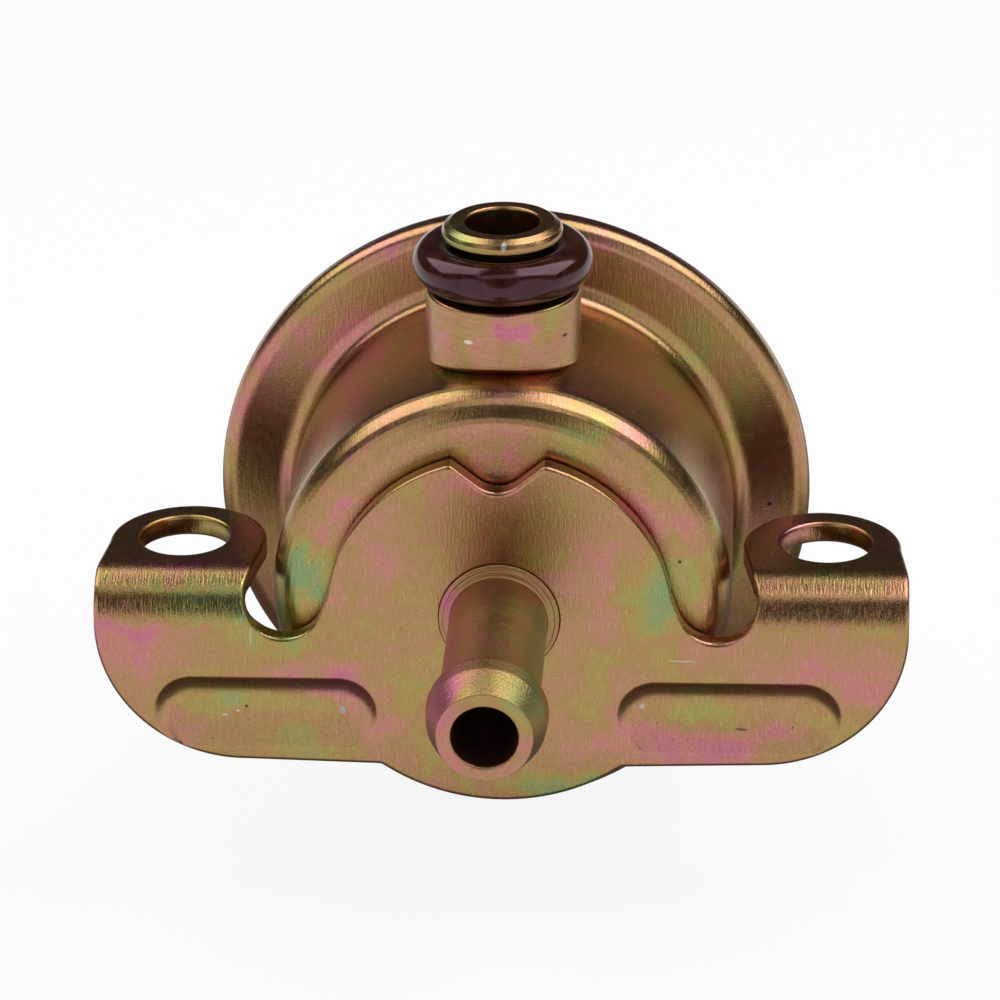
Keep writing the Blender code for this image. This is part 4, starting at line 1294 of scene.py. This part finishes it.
@dataclass
class InnerPieces:
    """Dresses the CAD's own solids inside the housings."""

    nodes: tuple[tuple[Union[Steel, Rubber], tuple[str, ...]], ...] = (
        (Steel("steel_turned"), ("valve_seat", "valve_disc", "valve_carrier", "ball_retainer",
                                 "support_washer", "spring_plate", "upper_spring_seat")),
        (Steel("steel_wire", (0.42, 0.42, 0.43), 0.36), ("ball_spring", "main_spring")),
        (Steel("steel_ball", (0.62, 0.62, 0.62), 0.12), ("valve_ball",)),
        (Rubber("rubber_diaphragm", (0.03, 0.03, 0.03), 0.45, weave=1.6), ("diaphragm",)),
    )

    def build(self) -> None:
        """Gives each inner node its finish."""
        for finish, names in self.nodes:
            material = finish.material()
            for name in names:
                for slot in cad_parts[name].material_slots:
                    slot.material = material
                log.info("%s: dressed in %s", name, material.name)


# ---- Studio ----


@dataclass
class Studio:
    """Pale table, two large side lamps, a weak one overhead, a soft surround and the camera.

    Lamps are (name, degrees from the front, degrees above the table, size in metres, brightness of the
    face). The surround's edge is in degrees above the table, and the camera's place was found by
    fitting it to measured points.
    """

    floor_z: float = -30.0
    floor_half: float = 6.0
    floor_glow: float = 0.9
    # The table's painted shadow, seen only in reflections: where it fades in depth and across, and its
    # colour.
    painted_shadow_front: Pair = (-24.0, -11.0)
    painted_shadow_back: Pair = (180.0, 150.0)
    painted_shadow_side: Pair = (90.0, 70.0)
    painted_shadow_tone: Colour = (0.10, 0.08, 0.07)
    lamp_distance: float = 0.5
    lamps: tuple[tuple[str, float, float, Pair, float], ...] = (
        ("left_lamp", -108.0, 53.0, (0.38, 0.42), 2.3),
        ("right_lamp", 102.0, 57.0, (0.40, 0.44), 2.9),
        ("top_lamp", 20.0, 69.0, (0.60, 0.17), 0.9),
    )
    edge_ahead: float = -1.0
    edge_oblique: float = 34.0
    edge_aside: float = 2.0
    edge_behind: float = -8.0
    edge_width: float = 14.0
    dim: float = 0.05
    bright: float = 0.97
    dim_tint: Colour = (1.0, 0.86, 0.84)
    camera_azimuth: float = radians(3.474)
    camera_elevation: float = radians(25.969)
    camera_roll: float = radians(-0.836)
    camera_distance: float = 365.981
    camera_scale: float = 1.0096
    camera_target: Place = (0.0, 5.0, 0.0)
    camera_lens: float = 163.9
    camera_shift: Pair = (-0.0024, 0.0913)
    camera_clip: Pair = (0.01, 20.0)

    def build(self) -> None:
        """Makes everything around the object."""
        self.floor()
        for lamp in self.lamps:
            self.lamp(*lamp)
        self.world()
        self.camera()
        bpy.context.scene.view_settings.view_transform = "Standard"

    def floor(self) -> None:
        """A white table that keeps the object's faint shadow.

        It shows as white to the camera and in reflections, where a painted shadow darkens only the patch
        under the object.
        """
        half, level = self.floor_half, self.floor_z * MM
        mesh = bpy.data.meshes.new("table")
        corners = [(x * half, y * half, level) for x, y in ((-1, -1), (1, -1), (1, 1), (-1, 1))]
        mesh.from_pydata(corners, [], [(0, 1, 2, 3)])
        table = linked("table", mesh)
        material, net = new_material("table_white")
        path = net.add("LightPath")
        glossy = path.other("Is Glossy Ray")
        seen = path.other("Is Camera Ray").most(glossy).most(path.other("Is Transmission Ray"))
        x, depth, _ = net.split(net.position())
        # Painted shadow: the table darkens under the object, and only reflected rays see it.
        shade = depth.smooth(*self.painted_shadow_front) * depth.smooth(*self.painted_shadow_back)
        shade = shade * x.absolute().smooth(*self.painted_shadow_side)
        matt = net.add("BsdfDiffuse", inputs={0: (0.9, 0.9, 0.9, 1.0)})
        tone = net.mix(shade * glossy, (1.0, 1.0, 1.0), self.painted_shadow_tone)
        white = net.add("Emission", inputs={0: tone, 1: 1.0})
        shader = net.add("MixShader", inputs={0: seen * self.floor_glow, 1: matt, 2: white})
        net.add("OutputMaterial", inputs={0: shader})
        mesh.materials.append(material)

    def lamp(self, name: str, azimuth: float, elevation: float, size: Pair, level: float) -> None:
        """A large soft lamp turned to the object.

        Args:
            name: The lamp's name.
            azimuth: Degrees from the front, positive to the right.
            elevation: Degrees above the table.
            size: Width and height in metres.
            level: Brightness of its face, where 1 is white.
        """
        turn, rise = radians(azimuth), radians(elevation)
        towards = Vector((sin(turn) * cos(rise), -cos(turn) * cos(rise), sin(rise)))
        data = bpy.data.lights.new(name, "AREA")
        data.shape = "RECTANGLE"
        data.size, data.size_y = size
        data.energy = level * pi * size[0] * size[1]
        lamp = linked(name, data)
        lamp.location = towards * self.lamp_distance
        lamp.rotation_euler = towards.to_track_quat("Z", "Y").to_euler()

    def world(self) -> None:
        """A surround that is white in front up to a soft edge, and dim above it and behind.

        The edge lies low straight ahead, high to the left and right of it, low again at the sides, and
        under the table's level behind.
        """
        world = bpy.data.worlds.new("surround")
        bpy.context.scene.world = world
        world.use_nodes = True
        net = Net(world.node_tree)
        x, y, z = net.split(net.add("TexCoord"))
        rise = z.arcsine() * (180 / pi)
        flat = net.across(x, y).most(0.001)
        aside, front = x.absolute() / flat, -y / flat
        edge = aside.smooth(0.12, 0.5) * (self.edge_oblique - self.edge_ahead) + self.edge_ahead
        edge = edge + aside.smooth(0.72, 1.0) * (self.edge_aside - self.edge_oblique)
        edge = edge + front.smooth(0.05, -0.35) * (self.edge_behind - edge)
        below = ((rise - edge) / self.edge_width).smooth(1.0, 0.0)
        level = below * (self.bright - self.dim) + self.dim
        tint = net.mix(below, self.dim_tint, (1.0, 1.0, 1.0))
        shader = net.add("Background", inputs={0: tint, 1: level})
        net.add("OutputWorld", inputs={0: shader})

    def camera(self) -> None:
        """The photograph's viewpoint."""
        azimuth, elevation, roll = self.camera_azimuth, self.camera_elevation, self.camera_roll
        back = np.array([sin(azimuth) * cos(elevation), -cos(azimuth) * cos(elevation), sin(elevation)])
        right = np.array([cos(azimuth), sin(azimuth), 0.0])
        up = np.cross(back, right)
        across = cos(roll) * right + sin(roll) * up
        upward = cos(roll) * up - sin(roll) * right
        spot = (np.array(self.camera_target) + self.camera_distance * back) * self.camera_scale
        spot = (spot - SHARED_ORIGIN) * MM
        data = bpy.data.cameras.new("photo_camera")
        data.lens = self.camera_lens
        data.shift_x, data.shift_y = self.camera_shift
        data.clip_start, data.clip_end = self.camera_clip
        camera = linked("photo_camera", data)
        turn = Matrix((across, upward, back)).transposed()
        camera.matrix_world = Matrix.Translation(Vector(spot)) @ turn.to_4x4()
        bpy.context.scene.camera = camera


def main() -> None:
    """Builds the pieces in order, then the studio."""
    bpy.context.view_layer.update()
    rim = Rim()
    for piece in (Bracket(), FuelHousing(rim), SpringHousing(rim), VacuumNipple(), ReturnBarb(),
                  InletPlug(), PlugRing(), InnerPieces(), Studio()):
        piece.build()


if __name__ == "__main__":
    main()
